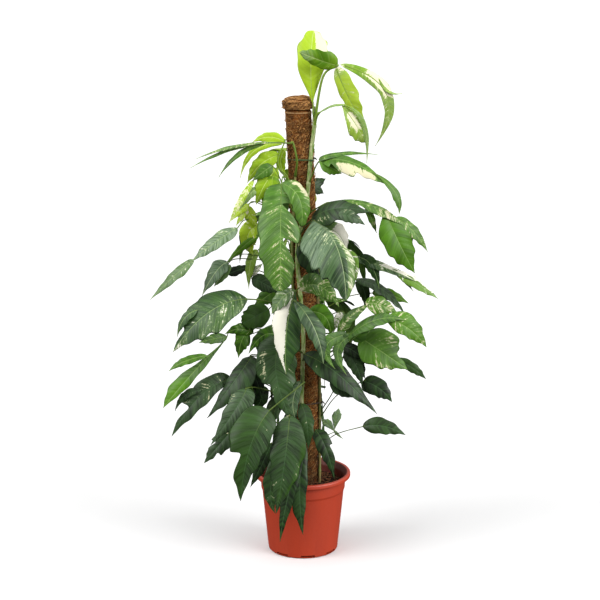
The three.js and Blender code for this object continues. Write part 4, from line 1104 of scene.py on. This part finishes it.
addLeaf("left_lime", "leafLime", "left", 930, (-60, -46, 992),
    lobe((-44, -38, 1046), (-84, -34, 1056), (-122, -30, 1043), (12, 13), tone=(-0.6, 0.7, 0)),
    lobe((-50, -40, 1040), (-116, -52, 1026), (-151, -52, 961), (9, 9), tone=(-0.6, 0.6, 0)),
    lobe((-56, -40, 1014), (-102, -50, 992), (-134, -50, 948), (20, 21), tone=(-0.6, 0.5, 0)),
    lobe((-44, -40, 1026), (-54, -34, 994), (-40, -30, 957), (12, 14), tone=(-0.6, 0.4, 0)))
addLeaf("left_bright", "leafLime", "left", 900, (-38, -40, 960),
    lobe((-62, -46, 982), (-92, -66, 946), (-113, -66, 898), (24, 24), tone=(-0.65, 0.4, 0)),
    lobe((-72, -60, 966), (-82, -66, 930), (-98, -66, 888), (25, 22), tone=(-0.7, 0, 0)))

# right side, from the top down
addLeaf("right_great", "leafMid", "front", 862, (33, -62, 888),
    lobe((56, -70, 902), (164, -108, 901), (250, -112, 846), (9, 24), (0.1, -0.7, 0.7), None,
         [("R", 0.34, 0.6)], (-0.35, 0.3, 0.5), [(0.6, 0.8, -1, 1, 0.1, 0.2, 0.3)]),
    lobe((196, -112, 884), (228, -128, 815), (267, -110, 739), (37, 38), (0.3, -0.95, 0.2),
         tone=(-0.9, 0.45, 0), fullest=(0.45, 0.42)),
    lobe((149, -104, 904), (163, -108, 870), (175, -104, 835), (9, 9), (0.1, -0.9, 0.3),
         tone=(-0.3, 0.6, 0.2)),
    lobe((220, -108, 874), (264, -112, 838), (298, -100, 789), (16, 14), (0.3, -0.85, 0.4),
         tone=(-0.35, 0.4, 0.3)))
addLeaf("right_arch", "leafDark", "front", 838, (12, -60, 852),
    lobe((20, -66, 862), (78, -124, 898), (156, -140, 892), (24, 38), (0, -0.8, 0.6), tone=(-0.85, 0, 0.4),
         patches=[(0.15, 0.3, 0.4, 0.7, 0.3, 0.3, 0.3)]),
    lobe((82, -146, 886), (112, -152, 884), (146, -146, 862), (15, 17), (0.1, -0.9, 0.4), tone=(-0.5, 0, 1)))
addLeaf("right_long", "leafPale", "right", 745, (85, -48, 774),
    lobe((113, -60, 768), (196, -90, 748), (270, -98, 716), (13, 12), (0.2, -0.8, 0.6), tone=(-0.5, 0, 0.4),
         patches=[(0.45, 1, -1, 0, 0.6, 0, 0.2)]),
    lobe((219, -92, 740), (276, -98, 708), (325, -98, 673), (15, 14), (0.3, -0.8, 0.5), tone=(-0.5, 0.8, 0),
         patches=[(0, 0.8, -1, -0.5, 0.5, 0, 0)]),
    lobe((136, -68, 768), (165, -84, 750), (184, -84, 694), (17, 15), (0.1, -0.95, 0.2),
         tone=(-0.8, -0.4, 0)),
    lobe((214, -92, 745), (240, -96, 722), (266, -94, 690), (6, 6), tone=(-0.6, 0.4, 0)),
    thick=0.8)
addLeaf("right_edge", "leafDark", "right", 700, (95, -46, 725),
    lobe((127, -50, 711), (196, -66, 686), (251, -66, 622), (17, 20), (0.3, -0.5, 0.8),
         tone=(-0.75, 0, 0.6)),
    thick=0.8)
addLeaf("right_band", "leafMid", "right", 552, (58, -56, 576),
    lobe((85, -84, 578), (112, -102, 628), (166, -106, 664), (14, 17), (-0.4, -0.8, 0.4),
         tone=(-0.4, 0.2, 0.3), patches=[(0.1, 0.9, -0.3, 0.3, 0.05, 0.3, 0)]),
    lobe((150, -104, 664), (190, -100, 656), (227, -94, 638), (22, 24), (0, -0.9, 0.4), tone=(-0.2, 0.5, 0)))
addLeaf("right_arc", "leafMid", "right", 535, (92, -78, 566),
    lobe((104, -92, 572), (172, -138, 629), (244, -140, 630), (17, 19), (0, -0.6, 0.8), (0.2, -0.9, 0.4),
         tone=(-0.75, 0.1, 0.4)),
    lobe((200, -138, 634), (254, -142, 608), (297, -128, 560), (33, 22), (0.2, -0.9, 0.3),
         tone=(-0.35, 0.6, 0.1)))
addLeaf("right_forked", "leafMid", "right", 516, (80, -80, 550),
    lobe((109, -98, 585), (56, -120, 560), (77, -116, 503), (16, 17), (0.2, -1, 0.2),
         tone=(-0.55, 0.1, 0.5)),
    lobe((123, -98, 585), (84, -110, 548), (106, -106, 484), (14, 13), (0.2, -1, 0.2), tone=(-0.6, 0, 0.7)),
    lobe((118, -94, 570), (140, -96, 590), (150, -94, 616), (22, 20), tone=(-0.8, 0.1, 0.1)),
    thick=0.8)
addLeaf("right_oval", "leafMid", "right", 500, (104, -58, 550),
    lobe((139, -74, 570), (192, -90, 538), (254, -88, 494), (58, 44), (0.3, -0.9, 0.3), None,
         [("L", 0.74, 0.3)], (-0.55, 0.4, 0.2), [(0.25, 0.6, -1, -0.5, -0.2, 0.3, 0),
         (0.3, 0.9, 0.75, 1, -0.05, 0.4, 0)]),
    thick=0.8)
addLeaf("low_right_round", "leafDark", "right", 345, (84, -36, 412),
    lobe((148, -54, 454), (188, -66, 439), (219, -68, 405), (24, 24), tone=(-0.75, 0, 0.2)),
    lobe((146, -50, 450), (166, -58, 434), (190, -56, 423), (13, 13), tone=(-0.7, 0, 0.8)),
    thick=0.7)
addLeaf("far_right", "leafDark", "right", 262, (78, -52, 314),
    lobe((147, -74, 343), (199, -88, 348), (252, -92, 327), (21, 21), (0.1, -0.9, 0.4),
         tone=(-0.8, 0.1, 0.15)),
    thick=0.7)
addLeaf("low_right_droop", "leafDark", "right", 292, (32, -58, 324),
    lobe((30, -72, 334), (56, -98, 295), (77, -96, 216), (21, 21), (0.2, -1, 0.3), None,
         [("L", 0.45, 0.35)], (-0.8, 0, 0.15)))
addLeaf("low_right_pale", "leafPale", "right", 290, (60, -16, 302),
    lobe((79, -16, 311), (82, -20, 342), (90, -16, 372), (12, 12), (0, -1, 0), tone=(-0.6, 0.8, 1),
         fullest=(0.7, 0.7)),
    lobe((79, -16, 311), (63, -20, 331), (46, -16, 342), (10, 12), (0, -1, 0), tone=(-0.6, 0.8, 1),
         fullest=(0.65, 0.6)),
    lobe((78, -16, 314), (89, -18, 303), (100, -16, 293), (4, 4), (0, -1, 0), tone=(-0.6, 0.8, 1),
         fullest=(0.2, 0.2)),
    thick=0.6)

# middle, from the top down
addLeaf("front_great", "leafMid", "left", 880, (-46, -62, 962),
    lobe((-52, -72, 948), (-54, -132, 830), (-54, -150, 703), (45, 53), toFront, None,
         [("L", 0.2, 0.95), ("L", 0.56, 0.75)], (-0.48, 0.3, 0.5), [(0, 0.06, -1, -0.4, 0.4, 0.2, 0),
         (0.34, 0.46, -0.8, -0.3, 0.15, 0.2, 0.3), (0.6, 1, -0.2, 0.5, -0.25, 0.4, 0.4),
         (0, 0.14, 0.3, 1, -0.8, 0, 0)], fullest=(0.5, 0.45), blunt=(1, 0.8)),
    lobe((-52, -72, 950), (-10, -100, 919), (-4, -104, 852), (26, 24), (0.2, -0.9, 0.4),
         tone=(-0.55, 0.4, 0.3), patches=[(0.1, 0.4, -1, -0.5, 0.3, 0.5, 0)], fullest=(0.45, 0.5),
         blunt=(0.5, 0.8)))
addLeaf("central", "leafGrey", "front", 815, (6, -80, 846),
    lobe((24, -92, 863), (79, -158, 811), (101, -190, 690), (33, 80), (0.25, -0.9, 0.35),
         tone=(-0.62, 0, 0.9), patches=[(0.45, 1, -0.3, 1, -0.8, -0.8, 0),
         (0.3, 1, -1, -0.4, -0.15, 0.7, 0), (0.22, 0.36, 0.1, 0.35, 0.1, 0, 1)], fullest=(0.76, 0.36),
         blunt=(0.3, 0.3)))
addLeaf("front_small", "leafMid", "front", 650, (-16, -62, 682),
    lobe((-12, -80, 694), (40, -118, 708), (86, -122, 658), (27, 26), tone=(-0.3, 0.2, 0.3)))
addLeaf("white_half", "leafPale", "front", 635, (-14, -78, 680),
    lobe((-19, -92, 691), (-40, -132, 601), (-41, -144, 497), (36, 37), tone=(-0.8, -0.2, 0.1),
         patches=[(0, 0.75, 0.08, 1, 0.9, 0, 0), (0.75, 1, 0.4, 1, 0.5, 0, 0)], fullest=(0.55, 0.33)),
    lobe((-20, -92, 693), (-50, -112, 678), (-76, -112, 638), (19, 20), (-0.2, -1, 0.3),
         tone=(-0.35, 0.2, 0.6), fullest=(0.5, 0.5)))
addLeaf("front_strap", "leafGrey", "front", 622, (14, -102, 645),
    lobe((-20, -130, 675), (27, -162, 613), (48, -168, 530), (24, 22), (0.3, -0.9, 0.4),
         tone=(-0.75, 0, 0.2), fullest=(0.5, 0.4)))
addLeaf("low_right_wide", "leafDark", "front", 500, (2, -60, 520),
    lobe((2, -66, 526), (84, -104, 486), (180, -112, 388), (27, 32), (0.2, -0.8, 0.5), tone=(-0.8, 0, 0.15)),
    lobe((70, -94, 470), (92, -98, 444), (124, -92, 423), (15, 16), (0.2, -0.9, 0.3), tone=(-0.7, 0, 0.5)))
addLeaf("low_front_great", "leafDark", "front", 520, (-34, -76, 555),
    lobe((-50, -88, 576), (-66, -112, 493), (-28, -130, 376), (52, 50), toFront, None,
         [("R", 0.62, 0.4), ("L", 0.75, 0.3)], (-0.6, 0.1, 0.5), [(0.15, 0.45, 0.5, 0.8, 0.1, 0.1, 0.5)]))
addLeaf("low_front_long", "leafDark", "front", 340, (-31, -92, 376),
    lobe((-33, -138, 392), (-44, -182, 294), (-66, -184, 157), (46, 38), tone=(-0.7, 0, 0.4),
         patches=[(0.2, 0.8, -1, -0.85, -0.5, 0.7, 0), (0.78, 0.9, -0.5, 0.5, -0.2, 0.4, 0.2)]))
addLeaf("low_front_right", "leafDark", "front", 370, (-8, -74, 396),
    lobe((-5, -84, 406), (10, -114, 362), (12, -116, 299), (18, 19), tone=(-0.75, 0.1, 0.3)))
addLeaf("lowest", "leafDark", "front", 270, (0, -84, 300),
    lobe((2, -92, 310), (-8, -136, 200), (0, -146, 87), (18, 28), tone=(-0.9, 0, 0.1)),
    lobe((2, -92, 310), (-36, -140, 190), (-57, -146, 69), (17, 18), (-0.2, -1, 0.2), tone=(-0.9, 0, 0.1)))

# left side, from the top down
addLeaf("left_cream", "leafLime", "left", 800, (-95, -44, 834),
    lobe((-108, -50, 844), (-134, -62, 818), (-121, -60, 772), (26, 26), tone=(-0.4, 0.9, 0)),
    thick=0.8)
addLeaf("left_long", "leafPale", "left", 835, (-128, -62, 862),
    lobe((-158, -80, 843), (-212, -108, 812), (-268, -112, 766), (20, 21), (-0.3, -0.8, 0.6),
         tone=(-0.45, 0.1, 0.9)),
    lobe((-262, -110, 771), (-309, -112, 732), (-369, -108, 672), (15, 15), (-0.3, -0.8, 0.6),
         tone=(-0.45, 0.3, 0.5)),
    thick=0.8)
addLeaf("left_grey", "leafGrey", "left", 745, (-140, -64, 776),
    lobe((-182, -74, 758), (-210, -92, 738), (-244, -94, 680), (20, 22), (-0.2, -0.8, 0.5),
         tone=(-0.7, 0, 0.7)),
    lobe((-176, -74, 752), (-196, -86, 726), (-216, -86, 700), (12, 13), (-0.2, -0.8, 0.5),
         tone=(-0.5, 0.4, 0.2)),
    thick=0.7)
addLeaf("left_great", "leafPale", "left", 615, (-86, -74, 660),
    lobe((-134, -86, 669), (-226, -126, 646), (-314, -120, 547), (52, 46), (-0.2, -0.85, 0.5), None,
         [("R", 0.8, 0.4)], (-0.5, 0, 0.3), [(0, 1, 0.35, 1, -0.7, 0, 0.1), (0.85, 1, -1, 0, 0.1, 0.2, 0),
         (0, 0.6, -1, -0.2, -0.36, 0.1, 0.3)], fullest=(0.46, 0.48)),
    lobe((-254, -120, 650), (-286, -126, 630), (-304, -120, 584), (13, 10), (-0.3, -0.9, 0.4),
         tone=(-0.7, 0, 0.3)))
addLeaf("left_round", "leafDark", "left", 600, (-70, -48, 640),
    lobe((-84, -56, 637), (-117, -70, 622), (-148, -74, 604), (30, 29), tone=(-0.7, 0.5, 0.2),
         fullest=(0.45, 0.45), blunt=(0.8, 0.8)),
    thick=0.8)
addLeaf("left_split", "leafMid", "left", 560, (-160, -62, 596),
    lobe((-189, -66, 564), (-271, -98, 485), (-342, -102, 400), (15, 25), (-0.2, -0.9, 0.4), None, (),
         (-0.66, 0.1, 0.6), [(0.55, 1, -1, 1, -0.65, 0.7, 0)], fullest=(0.55, 0.75)),
    lobe((-234, -90, 529), (-290, -104, 517), (-327, -104, 493), (10, 11), (-0.2, -0.9, 0.4),
         tone=(-0.6, 0.4, 0.2)),
    lobe((-186, -66, 570), (-220, -80, 568), (-254, -84, 560), (13, 13), (-0.2, -0.9, 0.4),
         tone=(-0.6, 0, 0.8)),
    thick=0.8)
addLeaf("left_star", "leafMid", "left", 545, (-90, -52, 582),
    lobe((-122, -60, 577), (-156, -76, 592), (-190, -78, 580), (15, 15), tone=(-0.6, 0.1, 0)),
    lobe((-132, -60, 580), (-150, -74, 562), (-158, -76, 520), (22, 20), tone=(-0.6, 0.2, 0)),
    thick=0.7)
addLeaf("low_left_dark", "leafDark", "left", 475, (-100, -46, 512),
    lobe((-126, -58, 519), (-164, -90, 470), (-236, -90, 370), (40, 22), (-0.3, -0.8, 0.5),
         tone=(-0.85, 0, 0.3)))
addLeaf("low_left_far", "leafDark", "left", 440, (-128, -46, 470),
    lobe((-177, -54, 459), (-254, -90, 424), (-324, -90, 323), (24, 31), (-0.2, -0.9, 0.4), None,
         [("R", 0.68, 0.8)], (-0.6, 0, 0.5), [(0.1, 0.5, 0.1, 0.7, -0.35, 0, 0.6)], fullest=(0.52, 0.36),
         blunt=(0.4, 0)),
    lobe((-250, -88, 440), (-290, -92, 427), (-315, -90, 387), (9, 11), (-0.2, -0.9, 0.4),
         tone=(-0.6, 0, 0.5)),
    thick=0.8)
addLeaf("low_left_grey", "leafDark", "left", 400, (-112, -86, 446),
    lobe((-138, -112, 452), (-163, -140, 410), (-225, -144, 318), (33, 28), (-0.2, -0.9, 0.4),
         tone=(-0.65, 0, 0.8), patches=[(0.2, 0.4, 0.6, 1, -0.1, 0.1, 1)]))
addLeaf("low_left_lobed", "leafDark", "left", 330, (-142, -78, 360),
    lobe((-166, -86, 348), (-206, -106, 306), (-244, -106, 259), (24, 25), (-0.2, -0.9, 0.4), None,
         [("L", 0.62, 0.3), ("R", 0.5, 0.35)], (-0.7, 0, 0.2)),
    thick=0.8)
addLeaf("low_left_great", "leafDark", "front", 440, (-2, -122, 466),
    lobe((-81, -150, 408), (-128, -188, 326), (-152, -178, 187), (42, 58), toFront, None, [("R", 0.6, 0.5)],
         (-0.75, 0.2, 0.2), [(0.1, 0.9, -1, -0.2, -0.6, 0, 0.5)], fullest=(0.3, 0.36)))
print("named leaves made")


# leaves behind, and the smaller leaves between

# each is (height on the back stem, degrees round the pole, length, width, kind)
rearTable = [(330, 122, 190, 78, "leafDark"), (420, 100, 200, 70, "leafDark"),
             (510, 126, 220, 84, "leafDark"), (580, 52, 220, 92, "leafMid"), (660, 112, 240, 96, "leafMid"),
             (740, 34, 200, 84, "leafMid"), (810, 148, 210, 86, "leafMid"), (880, 86, 210, 72, "leafLime")]
rearMore = [(275, 96, 150, 66, "leafDark"), (365, 84, 160, 70, "leafDark"), (395, 140, 150, 62, "leafDark"),
            (465, 92, 175, 76, "leafDark"), (545, 98, 185, 78, "leafMid"), (620, 80, 190, 84, "leafMid"),
            (700, 72, 190, 84, "leafPale"), (770, 100, 185, 80, "leafMid"), (850, 116, 175, 70, "leafMid"),
            (925, 96, 165, 62, "leafLime"), (965, 84, 140, 50, "leafLime"), (990, 124, 140, 52, "leafLime")]
rearSet = {"reach": 62, "rise": 46, "notchAt": 0.45, "notchDepth": 0.5, "otherAt": 0.66, "otherDepth": 0.3}


def rearLeaf(index, name, height, degrees, length, width, kind, reach=rearSet["reach"],
             rise=rearSet["rise"]):
    # an arching leaf that points outwards behind the pole and hangs down at its tip: its points lie in one
    # upright plane, at shares of its length outwards and down
    start = stemPoint("back", height)
    out = np.array([math.cos(math.radians(degrees)), math.sin(math.radians(degrees)), 0])
    up = np.array([0, 0, 1])
    knee = start + out * 0.45 * reach + up * 0.8 * rise
    base = start + out * reach + up * rise
    middle = start + out * (reach + 0.42 * length) + up * (rise - 0.12 * length)
    tip = start + out * (reach + 0.62 * length) + up * (rise - 0.68 * length)
    notches = [("LR"[index % 2], rearSet["notchAt"], rearSet["notchDepth"]),
               ("RL"[index % 2], rearSet["otherAt"], rearSet["otherDepth"])]
    addLeaf(name, kind, "back", height, knee,
            lobe(base, middle, tip, (width / 2, width / 2), face=(0.55 * out[0], 0.55 * out[1], 0.84),
                 tipFace=(out[0], out[1], 0.25), notches=notches,
                 tone=(-0.45 - 0.1 * (index % 3), 0.15 * (index % 4), 0.25)))


for rearIndex, rearRow in enumerate(rearTable):
    rearLeaf(rearIndex, "rear_" + str(rearIndex + 1), *rearRow)
for rearIndex, rearRow in enumerate(rearMore):
    rearOwn = math.sin(2.4 * rearIndex)
    rearLeaf(rearIndex, "rear_small_" + str(rearIndex + 1), *rearRow,
             reach=52 + 24 * rearOwn, rise=38 - 22 * rearOwn)

# leaves that fill both sides of the pole: they face sideways, so only their edges show from the front
sideSet = {"count": 11, "lowest": 345, "step": 52, "half": 27, "length": 118, "stalkDrop": 62, "thick": 0.75}


def sideLeaf(index, way):
    # from the stem on this side, outwards and a little backwards, then hanging; the sines make each its own
    height = sideSet["lowest"] + sideSet["step"] * index + 18 * way
    swing, drop = math.sin(2.1 * index + way), math.cos(1.7 * index)
    kind = "leafDark" if height < 560 else "leafMid" if height < 780 else "leafFresh"
    base = np.array([way * (38 + 6 * swing) - 6, 14 + 16 * drop, height])
    middle = base + (way * 14, 20 + 8 * swing, -0.3 * sideSet["length"])
    tip = base + (way * 18, 30 + 22 * swing, -(1 + 0.15 * drop) * sideSet["length"])
    side = "left" if way < 0 else "right"
    widths = (sideSet["half"] + 3 * swing, sideSet["half"] + 3 * drop)
    notches = [("LR"[index % 2], 0.5, 0.4 + 0.2 * drop)]
    addLeaf("side_%s_%d" % (side, index + 1), kind, side, height - sideSet["stalkDrop"],
            base + (-4 * way, -6, -4),
            lobe(base, middle, tip, widths, (way, -0.15, 0.3), notches=notches,
                 tone=(-0.6, 0.2 + 0.2 * swing, 0.25)),
            thick=sideSet["thick"])


for sideIndex in range(sideSet["count"]):
    sideLeaf(sideIndex, -1)
    if sideIndex < sideSet["count"] - 1:
        sideLeaf(sideIndex, 1)

smallThick = 0.75
# smaller leaves of one lobe: kind, stem, height on it, knee, base, middle, tip, half width, tone
smallTable = {
    "white": ("leafPale", "front", 800, (26, -58, 826), (64, -72, 838), (88, -84, 824), (104, -84, 788), 24,
        (0.9, 0, 0)),
    "pale_grey": ("leafMid", "front", 806, (24, -60, 828), (41, -78, 834), (62, -84, 850), (84, -84, 856),
        13, (-0.6, 0.2, 1)),
    "beside_central": ("leafPale", "front", 760, (48, -90, 800), (92, -128, 800), (122, -138, 763),
        (104, -134, 688), 12, (-0.12, 0.9, 0)),
    "fork_end": ("leafDark", "right", 360, (78, -34, 430), (103, -54, 533), (130, -66, 506),
        (152, -66, 465), 22, (-0.7, 0, 0.3)),
    "under_central": ("leafMid", "front", 600, (2, -52, 622), (14, -60, 632), (54, -76, 622),
        (68, -76, 574), 23, (-0.8, 0.3, 0)),
    "pale_beside": ("leafPale", "right", 600, (90, -50, 630), (103, -60, 624), (84, -70, 613),
        (72, -70, 577), 12, (0.0, 0.5, 0.3)),
    "low_between": ("leafDark", "front", 270, (-37, -96, 300), (-47, -104, 292), (-79, -128, 210),
        (-69, -132, 138), 21, (-0.7, 0.1, 0.3)),
    "left_slim": ("leafDark", "left", 745, (-165, -72, 765), (-182, -66, 726), (-158, -62, 736),
        (-124, -56, 746), 12, (-0.8, 0, 0.1)),
    "left_turned": ("leafDark", "left", 690, (-118, -50, 735), (-125, -52, 714), (-93, -56, 700),
        (-54, -50, 674), 20, (-0.7, 0, 0.6)),
    "left_lobed": ("leafFresh", "left", 740, (-90, -44, 790), (-110, -46, 782), (-128, -60, 752),
        (-132, -62, 690), 13, (-0.5, 0.3, 0.3)),
    "left_behind": ("leafMid", "left", 640, (-55, -34, 690), (-67, -30, 677), (-91, -34, 663),
        (-121, -30, 639), 20, (-0.6, 0.3, 0.1)),
    "left_strip": ("leafMid", "left", 770, (-90, -52, 828), (-107, -60, 822), (-145, -66, 795),
        (-187, -60, 753), 10, (-0.7, 0.8, 0)),
    "left_faded": ("leafPale", "left", 700, (-112, -46, 716), (-129, -52, 722), (-117, -54, 734),
        (-98, -50, 750), 10, (0.1, 0.6, 0)),
    "left_curled": ("leafMid", "left", 870, (-60, -60, 970), (-74, -60, 990), (-94, -68, 978),
        (-122, -66, 955), 16, (-0.6, 0.3, 0.2)),
    "left_blue": ("leafFresh", "left", 900, (-90, -58, 950), (-108, -62, 938), (-131, -70, 919),
        (-153, -68, 884), 10, (-0.7, 0, 1)),
    "left_cleft": ("leafLime", "left", 850, (-112, -50, 900), (-131, -56, 896), (-148, -66, 884),
        (-177, -66, 856), 9, (-0.4, 1, 0)),
    "left_claw": ("leafLime", "left", 850, (-112, -50, 900), (-131, -56, 896), (-146, -66, 872),
        (-162, -66, 846), 9, (-0.2, 1, 0)),
    "left_high": ("leafLime", "left", 850, (-100, -46, 900), (-140, -54, 893), (-129, -62, 871),
        (-108, -60, 842), 16, (-0.45, 1, 0)),
    "left_sickle": ("leafLime", "left", 920, (-96, -58, 968), (-118, -62, 957), (-150, -80, 908),
        (-178, -78, 855), 8, (-0.1, 0.6, 0)),
    "behind_pole": ("leafDark", "back", 880, (-8, 60, 913), (10, 66, 919), (36, 90, 926), (56, 96, 936), 14,
        (-0.8, 0, 0.1)),
    "behind_lobe": ("leafDark", "back", 880, (-8, 60, 913), (10, 66, 917), (36, 86, 909), (51, 92, 898), 12,
        (-0.8, 0, 0.1)),
    "under_great": ("leafDark", "front", 770, (-13, -46, 807), (-8, -50, 796), (14, -62, 756),
        (41, -68, 710), 22, (-0.8, 0, 0.1)),
    "right_tip": ("leafDark", "right", 490, (165, -44, 526), (226, -50, 510), (270, -62, 490),
        (303, -58, 460), 13, (-0.6, 0.3, 0.2)),
    "right_bright": ("leafMid", "right", 620, (110, -20, 660), (169, -36, 673), (214, -46, 670),
        (258, -40, 648), 15, (-0.7, 0.7, 0)),
    "right_inner": ("leafDark", "right", 670, (105, -30, 705), (127, -40, 700), (149, -46, 682),
        (150, -44, 640), 17, (-0.8, 0.1, 0)),
    "behind_fork": ("leafDark", "right", 500, (86, -50, 540), (96, -60, 545), (126, -80, 536),
        (150, -80, 511), 16, (-0.8, 0, 0.1)),
    "under_fork": ("leafDark", "right", 480, (86, -50, 530), (100, -66, 537), (130, -80, 500),
        (144, -80, 450), 18, (-0.8, 0, 0.3)),
    "low_stripe": ("leafDark", "left", 480, (-120, -46, 520), (-133, -50, 502), (-114, -66, 458),
        (-99, -66, 404), 18, (-0.8, 0, 0.1)),
    "low_olive": ("leafMid", "left", 430, (-128, -40, 470), (-134, -44, 460), (-124, -50, 430),
        (-117, -48, 396), 11, (-0.6, 0.3, 0)),
    "low_black": ("leafDark", "left", 400, (-110, -40, 450), (-117, -50, 438), (-104, -60, 410),
        (-127, -60, 379), 22, (-0.9, -0.5, 0)),
    "front_tail": ("leafGrey", "front", 430, (-4, -60, 470), (-6, -84, 463), (-25, -96, 412),
        (-14, -96, 362), 15, (-0.7, 0, 0.5)),
    "low_edge": ("leafDark", "front", 270, (-60, -58, 300), (-78, -72, 300), (-104, -88, 246),
        (-131, -88, 190), 15, (-0.85, -0.3, 0.2)),
    "left_tuck": ("leafMid", "left", 540, (-52, -56, 566), (-64, -66, 575), (-100, -84, 576),
        (-133, -84, 532), 17, (-0.7, 0.1, 0)),
    "low_pale": ("leafPale", "front", 300, (-8, -52, 330), (-12, -58, 340), (-22, -64, 318),
        (-26, -66, 288), 10, (-0.2, 0.3, 0.2)),
}
for smallName, (*place, base, middle, tip, width, tone) in smallTable.items():
    addLeaf("small_" + smallName, *place, lobe(base, middle, tip, (width, width), tone=tone),
            thick=smallThick)
print("all leaves made")
